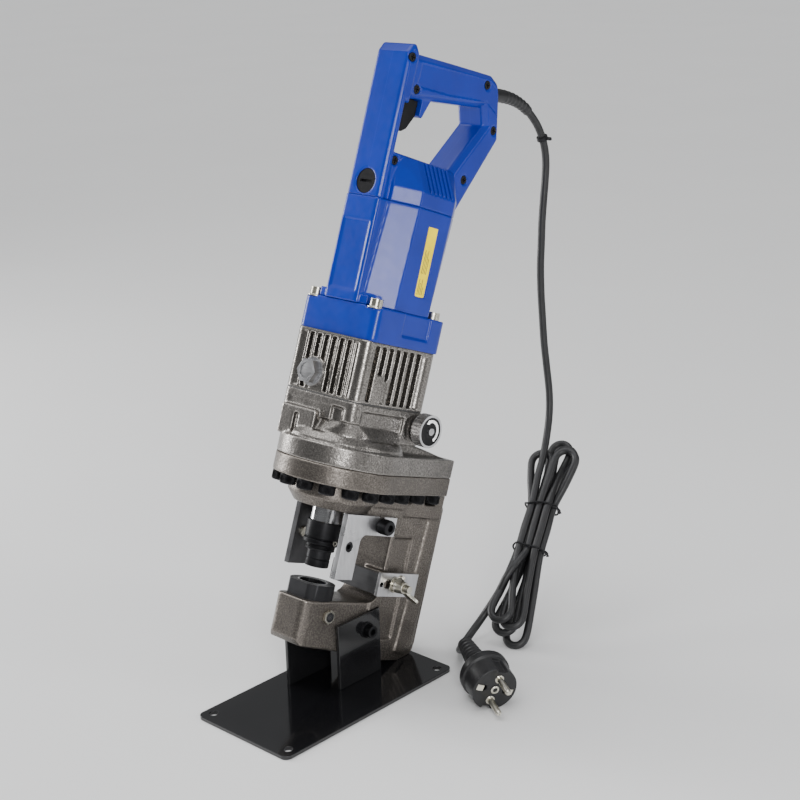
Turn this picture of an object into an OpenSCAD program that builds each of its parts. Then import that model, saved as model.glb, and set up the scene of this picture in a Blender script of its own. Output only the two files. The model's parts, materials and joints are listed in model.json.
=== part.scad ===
// Electric-hydraulic hole punch with a C-shaped frame, standing on a bench stand.
// The machine is drawn upright about its ram axis, with its origin at the middle of
// the die's top face, and lean() then sets it in the stand.

/* [Stand] */
// Length of the base plate, front to back
plate_l = 186; // [180:2:210]
// Width of the base plate
plate_w = 100; // [96:2:120]
// Thickness of the base plate
plate_t = 3; // [2:0.5:3]
// Radius of the plate's fixing holes
plate_hole_r = 3.5; // [2.5:0.5:4]
// Height of the two upright cheeks
cheek_h = 55; // [52:1:58]
// Length of each cheek along the plate
cheek_l = 47; // [44:1:50]
// Thickness of each cheek
cheek_t = 3; // [2:0.5:4]
// How far the machine leans back in the stand, in degrees
lean_deg = 20.5; // [20:0.5:21]

/* [C-frame] */
// Width of the lower jaw, which the cheeks clamp
jaw_w = 34; // [32:1:36]
// Width of the spine
spine_w = 38; // [38:1:40]
// Depth of the throat behind the punch
throat_d = 59; // [58:1:60]
// Radius of the round end of the cylinder flange
flange_r = 49; // [48:1:52]
// Thickness of each of the two flange layers
flange_t = 15; // [15:1:16]

/* [Ram and die] */
// Diameter of the hole that the punch makes
punch_d = 19; // [14:0.5:20.5]
// Clearance between punch and die, on the diameter
die_gap = 2; // [1:0.5:3]
// Outer diameter of the die
die_d = 36; // [34:1:38]
// Diameter of the piston rod
rod_d = 25; // [24:1:26]
// Travel of the ram
stroke = 18; // [16:1:18]
// Gap between the raised punch and the die
sheet_gap = 12; // [10:1:12]
// Diameter of the piston
piston_d = 60; // [58:1:60]

/* [Tank and motor] */
// Width of the finned oil tank
tank_w = 76; // [74:1:78]
// Depth of the finned oil tank
tank_d = 81; // [80:1:84]
// Distance between the tank's cooling fins
fin_pitch = 8; // [7:0.5:9]
// Width of the blue motor flange
motor_flange_w = 80; // [80:1:84]
// Teeth on the motor pinion
pinion_teeth = 10; // [10:1:10]
// Teeth on the gear that it drives
gear_teeth = 26; // [26:1:26]
// Gear module
gear_module = 1.25; // [1.25:0.25:1.25]

/* [Handle and cord] */
// Width of the handle
handle_w = 35; // [34:1:38]
// Diameter of the power cord
cord_d = 6.5; // [6:0.5:7]
// Diameter of the plug's collar
plug_d = 40; // [38:1:42]

/* [Hidden] */
$fn = 48;

// Where the ram axis stands on the plate, and how high the die's top is.
machine_x = -12;
die_z = 94;

// Colours
cast_grey = [0.55, 0.53, 0.50];
alloy_grey = [0.70, 0.68, 0.65];
motor_blue = [0.12, 0.25, 0.68];
gloss_black = [0.06, 0.06, 0.07];
oxide_black = [0.12, 0.12, 0.13];
zinc = [0.80, 0.79, 0.74];
steel = [0.72, 0.72, 0.72];
copper = [0.72, 0.42, 0.22];
rubber_black = [0.08, 0.08, 0.08];

// Fits
run_fit = 0.05;
free_fit = 0.3;

// Levels along the ram axis, from the die's top
nose_z = 60;
flange_z0 = 80;
flange_z1 = flange_z0 + flange_t;
flange_z2 = flange_z1 + flange_t;
pump_z = 145;
tank_z = 192;
motor_z = 218;
shell_z = 298;
bore_floor_z = 64;
piston_top_z = 111;
piston_h = 16;
punch_z = sheet_gap;

// Flange outline: a circle with two tangents to a squared rear end
flange_rear_y = 110;
flange_rear_x = 25;
tangent_a = atan2(flange_rear_y, flange_rear_x)
    - acos(flange_r / norm([flange_rear_x, flange_rear_y]));
bolt_inset = 6.5;
bolt_r = flange_r - bolt_inset;
bolt_step_deg = 24.5;
arc_bolts = 8;
side_bolt_at = [10, 34, 61, 88];
tangent_dir = [
    flange_rear_x - flange_r * cos(tangent_a),
    flange_rear_y - flange_r * sin(tangent_a)
] / norm([
    flange_rear_x - flange_r * cos(tangent_a),
    flange_rear_y - flange_r * sin(tangent_a)
]);
arc_bolt_pts = [for (i = [0:arc_bolts - 1])
    let (a = -90 + (i - (arc_bolts - 1) / 2) * bolt_step_deg)
    [bolt_r * cos(a), bolt_r * sin(a)]];
side_bolt_pts = [for (sx = [-1, 1], d = side_bolt_at)
    let (p = [bolt_r * cos(tangent_a), bolt_r * sin(tangent_a)] + tangent_dir * d)
    [sx * p[0], p[1]]];
bolt_pts = concat(arc_bolt_pts, side_bolt_pts);
bolt_head_r = 6.4;
bolt_head_h = 7.5;
bolt_shank_r = 4;
bolt_len = flange_t + 10;

// Stand
hole_inset_x = 8.5;
hole_inset_y = 10;
left_cheek_y = -14.5;
right_cheek_y = 6;
left_screw_yz = [15, 42];
right_screw_yz = [37.5, 44];
m6_head_r = 5;
m6_r = 3;
cheek_screw_depth = 10;

// Strippers
strip_in = 23;
strip_t = 5;
strip_thumb_yz = [33, 52.5];
strip_screw_yz = [2, 34];
thumb_r = 6.2;

// Gauge
gauge_y = 45;
gauge_z0 = -3;
gauge_h = 17;
gauge_side_x = 26;
stud_yz = [63, 6];
wing_rest_deg = -40;

// Tank, pump and tie screws
tank_y = 2.5;
plug_face_y = tank_y - tank_d / 2;
tie_x = 31.5;
tie_front_y = -31;
tie_rear_y = 36;
tie_pts = [for (sx = [-1, 1], y = [tie_front_y, tie_rear_y]) [sx * tie_x, y]];
tie_r = 3;
tie_end_z = 137;
valve_yz = [40, 133];

// Drive
motor_y = -2;
gear_dist = gear_module * (pinion_teeth + gear_teeth) / 2;
gear_y = motor_y + gear_dist;
gear_z0 = 199;
gear_h = 8;
eccentric_throw = 1.6;
ecc_z0 = 122;
ecc_h = 14;

// Handle, seen from its side as [y, z]: five convex bars round the grip opening
front_y = -38;
bar_inset = 1.5;
front_bar = [[front_y, 288], [front_y, 408], [-34, 415], [-30, 415.5], [-30, 288]];
front_head = [[front_y, 372], [front_y, 408], [-34, 415], [-30, 415.5], [-25, 410], [-25, 372]];
top_bar = [[-34, 374], [56, 389], [80, 396], [79, 405], [75, 413], [66, 417], [20, 413.5],
    [-34, 409]];
rear_bar = [[39, 334], [80, 396], [89.5, 370], [49, 288], [39, 288]];
rear_corner = [[64, 386], [60, 395], [66, 417], [75, 413], [79, 405], [89.5, 370], [68, 376]];
handle_base = [[-31, 288], [-31, 334], [40, 334], [46, 288]];
trigger_guard = [[-7.4, 384], [-7.4, 366.5], [-4, 365.2], [3, 381.5], [3, 384]];
// Screws: y, z and how far the face they sit in stands back from the front bar's face
screw_pts = [[-33.5, 405, 0], [-20, 384, bar_inset], [60, 408, bar_inset],
    [79, 376, bar_inset], [56, 331, bar_inset], [-27, 328, bar_inset]];

// Cord: where the sleeve and the free stretch run, in the part's own frame
sleeve_route = [
    [-12, 216, 444], [-12, 224, 443.7], [-12, 232, 442.5], [-12, 240, 440.5],
    [-12, 248, 438], [-12, 256, 434.5], [-12, 263, 430.5], [-12, 269, 426]
];
cord_route = [
    [-12, 269, 426], [-12, 277, 418.5], [-12, 284, 410], [-12, 289, 401],
    [-12, 292.5, 391], [-12, 294, 380], [-12, 293, 364], [-12, 291, 348],
    [-12, 289, 330], [-12, 288, 310], [-12, 287, 290], [-11, 286.5, 268],
    [-9, 286, 246], [-7, 286, 222], [-4, 286, 200], [0, 284.5, 178],
    [5, 281, 157], [10, 276, 137]
];
tail_route = [
    [46, 180, 45], [38, 166, 33], [32, 152, 20], [31, 138, 10], [34, 124, 6],
    [42, 111, 9], [52, 101, 18], [62, 95, 27]
];

module lean() {
    translate([machine_x, 0, die_z]) rotate([-lean_deg, 0, 0]) children();
}

module rod_x(r, x0, x1, y, z) {
    translate([min(x0, x1), y, z]) rotate([0, 90, 0]) cylinder(r = r, h = abs(x1 - x0));
}

module rod_y(r, y0, y1, x, z) {
    translate([x, y0, z]) rotate([-90, 0, 0]) cylinder(r = r, h = y1 - y0);
}

module rod_z(r, z0, z1, x = 0, y = 0) {
    translate([x, y, z0]) cylinder(r = r, h = z1 - z0);
}

module ring_z(r0, r1, z0, z1, x = 0, y = 0) {
    difference() {
        rod_z(r1, z0, z1, x, y);
        rod_z(r0, z0 - 1, z1 + 1, x, y);
    }
}

module hex_x(af, x0, x1, y, z) {
    translate([min(x0, x1), y, z]) rotate([0, 90, 0])
        cylinder(r = af / sqrt(3), h = abs(x1 - x0), $fn = 6);
}

// A flat shape drawn as [y, z] and given a thickness from x0 to x1
module side_plate(x0, x1) {
    translate([x0, 0, 0]) rotate([90, 0, 90]) linear_extrude(x1 - x0) children();
}

module rounded_rect(w, d, r, y = 0) {
    translate([-w / 2 + r, y - d / 2]) square([w - 2 * r, d]);
    translate([-w / 2, y - d / 2 + r]) square([w, d - 2 * r]);
    for (sx = [-1, 1], sy = [-1, 1])
        translate([sx * (w / 2 - r), y + sy * (d / 2 - r)]) circle(r);
}

module slab(z0, z1) {
    translate([0, 0, z0]) linear_extrude(z1 - z0) children();
}

// Socket-head screw along +Z with its head's bearing face at z = 0
module socket_screw(head_r, head_h, shank_r, shank_l, key) {
    difference() {
        union() {
            rod_z(head_r, 0, head_h);
            rod_z(shank_r, -shank_l, 0.01);
        }
        translate([0, 0, head_h * 0.45]) cylinder(r = key / sqrt(3), h = head_h, $fn = 6);
    }
}

// Tube swept along points: a ring of corners round each point, square to the route
function unit(v) = v / norm(v);
function tangent(p, i) = unit(p[min(i + 1, len(p) - 1)] - p[max(i - 1, 0)]);
function side_dir(t) = unit(cross(t, abs(t[0]) > 0.9 ? [0, 1, 0] : [1, 0, 0]));
function ring_pts(p, i, r, n) =
    let (t = tangent(p, i), u = side_dir(t), v = cross(t, u))
    [for (k = [0:n - 1]) p[i] + r * cos(360 * k / n) * u + r * sin(360 * k / n) * v];
module sweep(p, r, n = 10) {
    radii = is_list(r) ? r : [for (q = p) r];
    last = len(p) - 1;
    pts = [for (i = [0:last]) each ring_pts(p, i, radii[i], n)];
    walls = [for (i = [0:last - 1], k = [0:n - 1])
        let (a = i * n + k, b = i * n + (k + 1) % n) [a, b, b + n, a + n]];
    start_cap = [for (k = [n - 1:-1:0]) k];
    end_cap = [for (k = [0:n - 1]) last * n + k];
    polyhedron(concat(pts), concat([start_cap], walls, [end_cap]));
}

// ---------------------------------------------------------------- stand

module base_plate() {
    color(gloss_black) difference() {
        slab(0, plate_t) rounded_rect(plate_w, plate_l, 6);
        for (sx = [-1, 1], sy = [-1, 1])
            rod_z(plate_hole_r, -1, plate_t + 1, sx * (plate_w / 2 - hole_inset_x),
                sy * (plate_l / 2 - hole_inset_y));
    }
}

module cheek(x0, y0, screw_yz) {
    color(gloss_black) difference() {
        translate([x0, y0, plate_t]) cube([cheek_t, cheek_l, cheek_h]);
        rod_x(m6_r, x0 - 1, x0 + cheek_t + 1, screw_yz[0], screw_yz[1]);
    }
}

module left_cheek() {
    cheek(machine_x - jaw_w / 2 - cheek_t, left_cheek_y, left_screw_yz);
}

module right_cheek() {
    cheek(machine_x + jaw_w / 2, right_cheek_y, right_screw_yz);
}

module cheek_screw(sx, yz) {
    face_x = machine_x + sx * (jaw_w / 2 + cheek_t);
    translate([face_x, yz[0], yz[1]]) rotate([0, sx * 90, 0]) {
        difference() {
            rod_z(6.5, 0, 1.2);
            rod_z(m6_r, -1, 2);
        }
        translate([0, 0, 1.2])
            socket_screw(m6_head_r, 6, m6_r, cheek_t + cheek_screw_depth + 1.2, 5);
    }
}

module cheek_screws() {
    color(oxide_black) {
        cheek_screw(-1, left_screw_yz);
        cheek_screw(1, right_screw_yz);
    }
}

module cheek_screw_holes() {
    inner = jaw_w / 2 - cheek_screw_depth;
    rod_x(m6_r, machine_x - jaw_w, machine_x - inner, left_screw_yz[0], left_screw_yz[1]);
    rod_x(m6_r, machine_x + inner, machine_x + jaw_w, right_screw_yz[0], right_screw_yz[1]);
}

// ---------------------------------------------------------------- C-frame

module flange_outline(r_trim = 0) {
    r = flange_r - r_trim;
    circle(r, $fn = 96);
    polygon([
        [r * cos(tangent_a), r * sin(tangent_a)],
        [flange_rear_x - r_trim, flange_rear_y - r_trim],
        [r_trim - flange_rear_x, flange_rear_y - r_trim],
        [-r * cos(tangent_a), r * sin(tangent_a)]
    ]);
}

module throat_outline() {
    r = 11;
    translate([-60, -12]) square([60 + throat_d - r, 72]);
    translate([-60, -12 + r]) square([60 + throat_d, 72 - 2 * r]);
    translate([throat_d - r, r - 12]) circle(r);
    translate([throat_d - r, 60 - r]) circle(r);
}

module frame_outline() {
    heel_r = 14;
    difference() {
        union() {
            polygon([
                [-21, -12], [-21, -43], [-16, -48], [22, -52], [82, -60], [103, -60],
                [103, -46], [117, -46], [117, 68], [109, 80], [10, 80], [10, -12]
            ]);
            translate([117 - heel_r, heel_r - 60]) circle(heel_r);
        }
        throat_outline();
    }
}

module spine_pocket(sx) {
    depth = 2.5;
    translate([sx * (spine_w / 2 + 5 - depth), 0, 0])
        side_plate(-5, 5) difference() {
            translate([64, -42]) square([22, 84]);
            translate([64, -42]) square([5, 5]);
        }
}

module c_frame_body() {
    half = spine_w / 2;
    difference() {
        union() {
            side_plate(-half, half) frame_outline();
            // raised rear shoulder
            side_plate(-half - 2, half + 2) polygon([
                [92, -52], [104, -54], [112, -46], [114, 60], [100, 60]
            ]);
            // web under the nose that the strippers are screwed to
            translate([-strip_in + 0.3, 22, 45]) cube([2 * strip_in - 0.6, 42, 20]);
            // upper arm and cylinder nose
            translate([-22, 0, nose_z]) cube([44, 112, flange_z0 - nose_z]);
            translate([0, 0, nose_z]) cylinder(r1 = 28, r2 = 34.5, h = 8);
            rod_z(34.5, nose_z + 8, flange_z0);
            slab(flange_z0, flange_z1) flange_outline();
            // gauge pad
            translate([0, 56, -3.5]) cube([gauge_side_x - free_fit, 26, 17.5]);
        }
        // jaw is narrower than the spine and has round front corners
        for (sx = [-1, 1]) {
            translate([sx * (jaw_w / 2 + 10), 9, -37]) cube([20, 84, 58], center = true);
            difference() {
                translate([sx * (jaw_w / 2 + 1) - 8, -30, -70]) cube([16, 16, 75]);
                rod_z(7, -80, 10, sx * (jaw_w / 2 - 7), -14);
                translate([sx * (jaw_w / 2 - 15) - 8, -21, -80]) cube([16, 30, 90]);
            }
            spine_pocket(sx);
        }
        // cylinder bore, rod bush seat and die seat
        rod_z(piston_d / 2 + run_fit, bore_floor_z, flange_z1 + 1);
        rod_z(18, nose_z - 1, bore_floor_z + 1);
        rod_z(14, -26, -11);
        rod_z(11.5, -70, -20);
        rod_x(4.05, 10, 30, 7, -24);
        // bolt holes with spot faces under the flange
        for (p = bolt_pts) {
            rod_z(bolt_shank_r, flange_z0 - 1, flange_z1 + 1, p[0], p[1]);
            rod_z(bolt_head_r + 0.8, flange_z0 - bolt_head_h - 1.5, flange_z0, p[0], p[1]);
        }
        for (sx = [-1, 1])
            rod_x(2.5, sx * 12, sx * 30, strip_thumb_yz[0], strip_thumb_yz[1]);
        rod_x(3, gauge_side_x - 14, gauge_side_x + 2, stud_yz[0], stud_yz[1]);
    }
}

// Room for a cheek's rear corner in the side of the wider spine
module cheek_seat(sx, y0) {
    gap = 0.3;
    intersection() {
        translate([machine_x + sx * (jaw_w / 2 + 4.9) - 5, y0 - gap, -20])
            cube([10, cheek_l + 2 * gap, plate_t + cheek_h + 20 + gap]);
        lean() translate([-40, 50, -100]) cube([80, 60, 100]);
    }
}

module c_frame() {
    color(cast_grey) difference() {
        lean() c_frame_body();
        cheek_screw_holes();
        cheek_seat(-1, left_cheek_y);
        cheek_seat(1, right_cheek_y);
        // flat foot on the base plate
        translate([-100, -50, plate_t - 20]) cube([200, 200, 20]);
    }
}

module die() {
    color(oxide_black) lean() difference() {
        union() {
            intersection() {
                rod_z(die_d / 2, -12, 0, $fn = 96);
                translate([-30, -15.5, -12]) cube([60, 60, 12]);
            }
            rod_z(14, -24, -12);
        }
        rod_z((punch_d + die_gap) / 2, -8, 1);
        rod_z(11.5, -25, -7);
        rod_x(4.05, 11, 20, 7, -24);
    }
}

module die_set_screw() {
    x1 = jaw_w / 2 + 2.5;
    color(zinc) lean() difference() {
        union() {
            rod_x(4, 12.6, x1, 7, -24);
            hex_x(10, jaw_w / 2 + 0.05, x1, 7, -24);
        }
        hex_x(4, x1 - 2, x1 + 1, 7, -24);
    }
}

// ---------------------------------------------------------------- ram

module rod_bush() {
    color([0.75, 0.55, 0.25]) lean() ring_z(rod_d / 2 + run_fit, 18, nose_z, bore_floor_z);
}

module piston() {
    z0 = piston_top_z - piston_h;
    color(steel) lean() difference() {
        rod_z(piston_d / 2, z0, piston_top_z);
        ring_z(piston_d / 2 - 3.5, piston_d / 2 + 1, z0 + 6, z0 + 10);
        rod_z(rod_d / 2 - 3, z0 - 1, z0 + 12);
    }
}

module piston_seal() {
    z0 = piston_top_z - piston_h;
    color(rubber_black) lean() ring_z(piston_d / 2 - 3.5, piston_d / 2, z0 + 6, z0 + 10);
}

module return_spring() {
    wire = 2;
    turns = 3;
    z0 = bore_floor_z + wire + 0.2;
    rise = piston_top_z - piston_h - bore_floor_z - 2 * wire - 0.4;
    steps = turns * 18;
    coil = [for (i = [0:steps])
        [20 * cos(360 * turns * i / steps), 20 * sin(360 * turns * i / steps),
            z0 + rise * i / steps]];
    color(steel) lean() sweep(coil, wire, 8);
}

module piston_rod() {
    z0 = piston_top_z - piston_h;
    color(steel) lean() difference() {
        union() {
            rod_z(rod_d / 2, punch_z + 24, z0);
            rod_z(rod_d / 2 - 3, z0 - 0.01, z0 + 12);
        }
        rod_z(9, punch_z + 17, punch_z + 30);
    }
}

module punch_nut() {
    color(oxide_black) lean() difference() {
        union() {
            rod_z(14, punch_z + 18, punch_z + 36);
            rod_z(11.7, punch_z + 13, punch_z + 18.01);
        }
        rod_z(rod_d / 2, punch_z + 24, punch_z + 37);
        rod_z(9.8, punch_z + 12, punch_z + 20);
        rod_z(11, punch_z + 18, punch_z + 24.01);
        rod_x(2, 5, 20, 0, punch_z + 21);
    }
}

module punch_grub_screw() {
    color(zinc) lean() difference() {
        rod_x(2, 11.2, 14.6, 0, punch_z + 21);
        hex_x(2, 13.4, 15, 0, punch_z + 21);
    }
}

module punch() {
    tip_r = punch_d / 2;
    color(oxide_black) lean() difference() {
        union() {
            rod_z(tip_r, punch_z, punch_z + 18.2);
            rod_z(10.8, punch_z + 18.2, punch_z + 23.8);
            rod_z(8.8, punch_z + 23.7, punch_z + 29);
        }
        translate([0, 0, punch_z - 0.5]) cylinder(r1 = tip_r - 3, r2 = 0, h = 2);
    }
}

// ---------------------------------------------------------------- strippers

module stripper_outline() {
    difference() {
        union() {
            translate([-7, 8]) square([20, nose_z - 0.4 - 8]);
            translate([-7, 44]) square([58, nose_z - 0.4 - 44]);
            translate([13, 38]) square([6, 6]);
        }
        translate([19, 38]) circle(6);
        // slot open at the top, so the plate can slide down on its thumb screw
        translate(strip_thumb_yz) circle(2.8);
        translate([strip_thumb_yz[0] - 2.8, strip_thumb_yz[1]]) square([5.6, 20]);
    }
}

module stripper_plate(sx) {
    x0 = sx > 0 ? strip_in : -strip_in - strip_t;
    difference() {
        side_plate(x0, x0 + strip_t) stripper_outline();
        rod_x(4, x0 - 1, x0 + strip_t + 1, strip_screw_yz[0], strip_screw_yz[1]);
    }
}

module left_stripper_plate() {
    color([0.30, 0.30, 0.31]) lean() stripper_plate(-1);
}

module right_stripper_plate() {
    color([0.78, 0.78, 0.80]) lean() stripper_plate(1);
}

module stripper_screw(sx) {
    difference() {
        rod_x(4, sx * (strip_in - 2), sx * (strip_in + strip_t - 0.8), strip_screw_yz[0],
            strip_screw_yz[1]);
        hex_x(4, sx * (strip_in + 1), sx * (strip_in + strip_t + 1), strip_screw_yz[0],
            strip_screw_yz[1]);
    }
}

module left_stripper_screw() {
    color(zinc) lean() stripper_screw(-1);
}

module right_stripper_screw() {
    color(oxide_black) lean() stripper_screw(1);
}

module thumb_screw(sx) {
    x1 = strip_in + strip_t + 0.3;
    knurls = 24;
    difference() {
        union() {
            rod_x(2.45, sx * 14, sx * (x1 + 2), strip_thumb_yz[0], strip_thumb_yz[1]);
            rod_x(thumb_r, sx * x1, sx * (x1 + 10), strip_thumb_yz[0], strip_thumb_yz[1]);
        }
        for (i = [0:knurls - 1])
            translate([0, strip_thumb_yz[0] + thumb_r * cos(i * 360 / knurls),
                strip_thumb_yz[1] + thumb_r * sin(i * 360 / knurls)])
                rod_x(0.45, sx * (x1 + 1), sx * (x1 + 9), 0, 0);
    }
}

module left_thumb_screw() {
    color(oxide_black) lean() thumb_screw(-1);
}

module right_thumb_screw() {
    color(oxide_black) lean() thumb_screw(1);
}

// ---------------------------------------------------------------- back gauge

module gauge_bar() {
    color([0.32, 0.32, 0.33]) lean() difference() {
        translate([-24, gauge_y, gauge_z0]) cube([24 + gauge_side_x, 6, gauge_h]);
        rod_x(2, 14, 30, gauge_y + 3, gauge_z0 + gauge_h / 2);
    }
}

module gauge_bracket() {
    x0 = gauge_side_x;
    slot_y0 = stud_yz[0] - 9;
    slot_y1 = stud_yz[0] + 9;
    color([0.80, 0.80, 0.82]) lean() difference() {
        translate([x0, gauge_y, gauge_z0 - 1]) cube([3, 46, gauge_h + 2]);
        for (y = [slot_y0, slot_y1])
            rod_x(3.5, x0 - 1, x0 + 4, y, stud_yz[1]);
        translate([x0 - 1, slot_y0, stud_yz[1] - 3.5]) cube([5, slot_y1 - slot_y0, 7]);
        rod_x(2, x0 - 1, x0 + 4, gauge_y + 3, gauge_z0 + gauge_h / 2);
    }
}

// Stud with the plain and spring washers that the wing nut bears on
module gauge_stud() {
    x0 = gauge_side_x + 3.2;
    color(zinc) lean() {
        rod_x(3, gauge_side_x - 14, gauge_side_x + 20, stud_yz[0], stud_yz[1]);
        difference() {
            union() {
                rod_x(6.5, x0, x0 + 1.4, stud_yz[0], stud_yz[1]);
                rod_x(5, x0 + 1.4, x0 + 3.4, stud_yz[0], stud_yz[1]);
            }
            rod_x(3, x0 - 1, x0 + 5, stud_yz[0], stud_yz[1]);
        }
    }
}

module wing_nut() {
    x0 = gauge_side_x + 6.8;
    color(zinc) lean() translate([x0, stud_yz[0], stud_yz[1]]) difference() {
        union() {
            rotate([0, 90, 0]) cylinder(r1 = 5.5, r2 = 4.6, h = 8);
            rotate([wing_rest_deg, 0, 0]) for (s = [-1, 1])
                linear_extrude(2.6, center = true) polygon([
                    [0.6, s * 3], [3, s * 9], [8, s * 15], [11, s * 16.5], [13.5, s * 16],
                    [14, s * 14], [12, s * 11], [8.5, s * 7], [7.6, s * 3]
                ]);
        }
        rod_x(3.05, -1, 20, 0, 0);
    }
}

// ---------------------------------------------------------------- pump and cylinder head

module flange_bolts() {
    color(oxide_black) lean() for (p = bolt_pts)
        translate([p[0], p[1], flange_z0]) rotate([180, 0, 0])
            socket_screw(bolt_head_r, bolt_head_h, bolt_shank_r, bolt_len, 6);
}

module cylinder_seal() {
    color(rubber_black) lean() translate([0, 0, flange_z1 + 1.2])
        rotate_extrude($fn = 96) translate([34.5, 0]) circle(1.1, $fn = 16);
}

module pump_body() {
    boss_r = 7;
    color(alloy_grey) lean() difference() {
        union() {
            slab(flange_z1, flange_z2) flange_outline();
            // drum over the cylinder, drawn in to the square pump chamber
            rod_z(47, flange_z2 - 1, 113);
            translate([0, 0, 113]) cylinder(r1 = 47, r2 = 43.5, h = 5);
            hull() {
                slab(113, 114) circle(42.5);
                slab(127, 128) rounded_rect(70, 74, 10, tank_y);
            }
            slab(127.5, pump_z) rounded_rect(70, 74, 10, tank_y);
            slab(139, pump_z) rounded_rect(tank_w, tank_d, 8, tank_y);
            for (p = tie_pts)
                rod_z(boss_r, 129, pump_z, p[0], p[1]);
            // block at the front left corner, and the low rear shoulder
            translate([-31, -43, flange_z2 - 1]) cube([36, 26, 23]);
            translate([-31, -37.5, 128]) cube([46, 20, 13]);
            hull() {
                slab(flange_z2 - 1, flange_z2) translate([-24, 20]) square([48, 80]);
                slab(119, 120) translate([-22, 20]) square([44, 26]);
            }
            // valve boss
            translate([18, 22, 119]) cube([19.5, 21, 24]);
            rod_x(12, 18, 38.5, valve_yz[0], valve_yz[1]);
            rod_x(8, 20, 41, valve_yz[0], valve_yz[1]);
        }
        // slot cast into the front block
        translate([-17, -46, 112]) cube([5, 7, 15]);
        // cylinder end, pump chamber and plunger bores
        rod_z(piston_d / 2 + run_fit, flange_z1 - 1, piston_top_z + 1);
        ring_z(33, 36.2, flange_z1 - 1, flange_z1 + 2.4);
        rod_z(18, 118, pump_z + 1, 0, gear_y);
        rod_z(5.05, 114.5, 119, 0, gear_y);
        rod_x(4 + run_fit, -33, 33, gear_y, ecc_z0 + ecc_h / 2);
        rod_x(3, 22, 45, valve_yz[0], valve_yz[1]);
        for (p = bolt_pts)
            rod_z(bolt_shank_r, flange_z1 - 1, flange_z1 + 10.5, p[0], p[1]);
        for (p = tie_pts)
            rod_z(tie_r, tie_end_z, pump_z + 1, p[0], p[1]);
    }
}

module pump_plungers() {
    reach = 13 + eccentric_throw + 0.4;
    color(steel) lean() for (sx = [-1, 1])
        rod_x(4, sx * reach, sx * 31, gear_y, ecc_z0 + ecc_h / 2);
}

module release_spindle() {
    color(steel) lean() {
        rod_x(2.95, 24, 52, valve_yz[0], valve_yz[1]);
    }
}

module release_knob() {
    x0 = 41.5;
    x1 = 51;
    knurls = 30;
    color([0.75, 0.75, 0.76]) lean() difference() {
        rod_x(13, x0, x1, valve_yz[0], valve_yz[1]);
        rod_x(11.2, x1 - 0.6, x1 + 1, valve_yz[0], valve_yz[1]);
        rod_x(2.95, x0 - 1, x1 + 2, valve_yz[0], valve_yz[1]);
        for (i = [0:knurls - 1])
            translate([0, valve_yz[0] + 13 * cos(i * 12), valve_yz[1] + 13 * sin(i * 12)])
                rod_x(0.5, x0 - 1, x1 - 2, 0, 0);
    }
}

// ---------------------------------------------------------------- tank

module tank_fins() {
    fin = 2.8;
    fin_out = 5.2;
    x_fins = floor((tank_w / 2 - 14) / fin_pitch);
    y_fins = floor((tank_d / 2 - 14) / fin_pitch);
    for (sy = [-1, 1], i = [-x_fins:x_fins])
        translate([i * fin_pitch - fin / 2, tank_y + sy * (tank_d / 2 - fin_out / 2)
            - fin_out / 2, pump_z + 1]) cube([fin, fin_out, tank_z - pump_z - 2]);
    for (sx = [-1, 1], i = [-y_fins:y_fins])
        translate([sx * (tank_w / 2 - fin_out / 2) - fin_out / 2,
            tank_y + i * fin_pitch - fin / 2, pump_z + 1])
            cube([fin_out, fin, tank_z - pump_z - 2]);
}

module oil_tank() {
    color(alloy_grey) lean() difference() {
        union() {
            slab(pump_z, tank_z) rounded_rect(tank_w - 10, tank_d - 10, 5, tank_y);
            slab(pump_z, pump_z + 2) rounded_rect(tank_w, tank_d, 8, tank_y);
            slab(tank_z - 2.5, tank_z) rounded_rect(tank_w, tank_d, 8, tank_y);
            tank_fins();
            for (p = tie_pts)
                rod_z(7, pump_z, tank_z, p[0], p[1]);
            // plug boss and the two pads
            rod_y(12, plug_face_y, -20, -11, 160);
            translate([-11, plug_face_y, pump_z]) cube([13, 8, 17]);
            translate([tank_w / 2 - 8, -23, pump_z]) cube([8, 12, 23]);
            translate([tank_w / 2 - 8, -13, pump_z]) cube([7, 11, 20]);
        }
        difference() {
            slab(pump_z + 4, tank_z + 1) rounded_rect(tank_w - 14, tank_d - 14, 4, tank_y);
            for (p = tie_pts)
                rod_z(7, pump_z, tank_z + 2, p[0], p[1]);
            rod_z(12, pump_z, tank_z + 2, 0, gear_y);
        }
        rod_z(9, pump_z - 1, tank_z + 1, 0, gear_y);
        rod_y(6, -50, -20, -11, 160);
        for (p = tie_pts)
            rod_z(tie_r, pump_z - 1, tank_z + 1, p[0], p[1]);
    }
}

module oil_plug() {
    color(steel) lean() translate([-11, plug_face_y, 160]) rotate([90, 0, 0]) {
        difference() {
            cylinder(r = 17 / sqrt(3), h = 8, $fn = 6);
            translate([0, 0, 7.4]) cylinder(r = 6.5, h = 1);
        }
        rod_z(11, 0, 1.5);
        rod_z(6, -9, 0.01);
    }
}

module oil_bladder() {
    color(rubber_black) lean() difference() {
        slab(pump_z + 8, tank_z - 10) rounded_rect(44, 32, 6, -12);
        slab(pump_z + 10, tank_z - 12) rounded_rect(40, 28, 4, -12);
    }
}

// ---------------------------------------------------------------- gears and eccentric

function involute_pt(rb, t) = [rb * (cos(t) + t * PI / 180 * sin(t)),
    rb * (sin(t) - t * PI / 180 * cos(t))];
function involute_t(rb, r) = sqrt(max(0, (r / rb) * (r / rb) - 1)) * 180 / PI;
function spin(p, a) = [p[0] * cos(a) - p[1] * sin(a), p[0] * sin(a) + p[1] * cos(a)];

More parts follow.
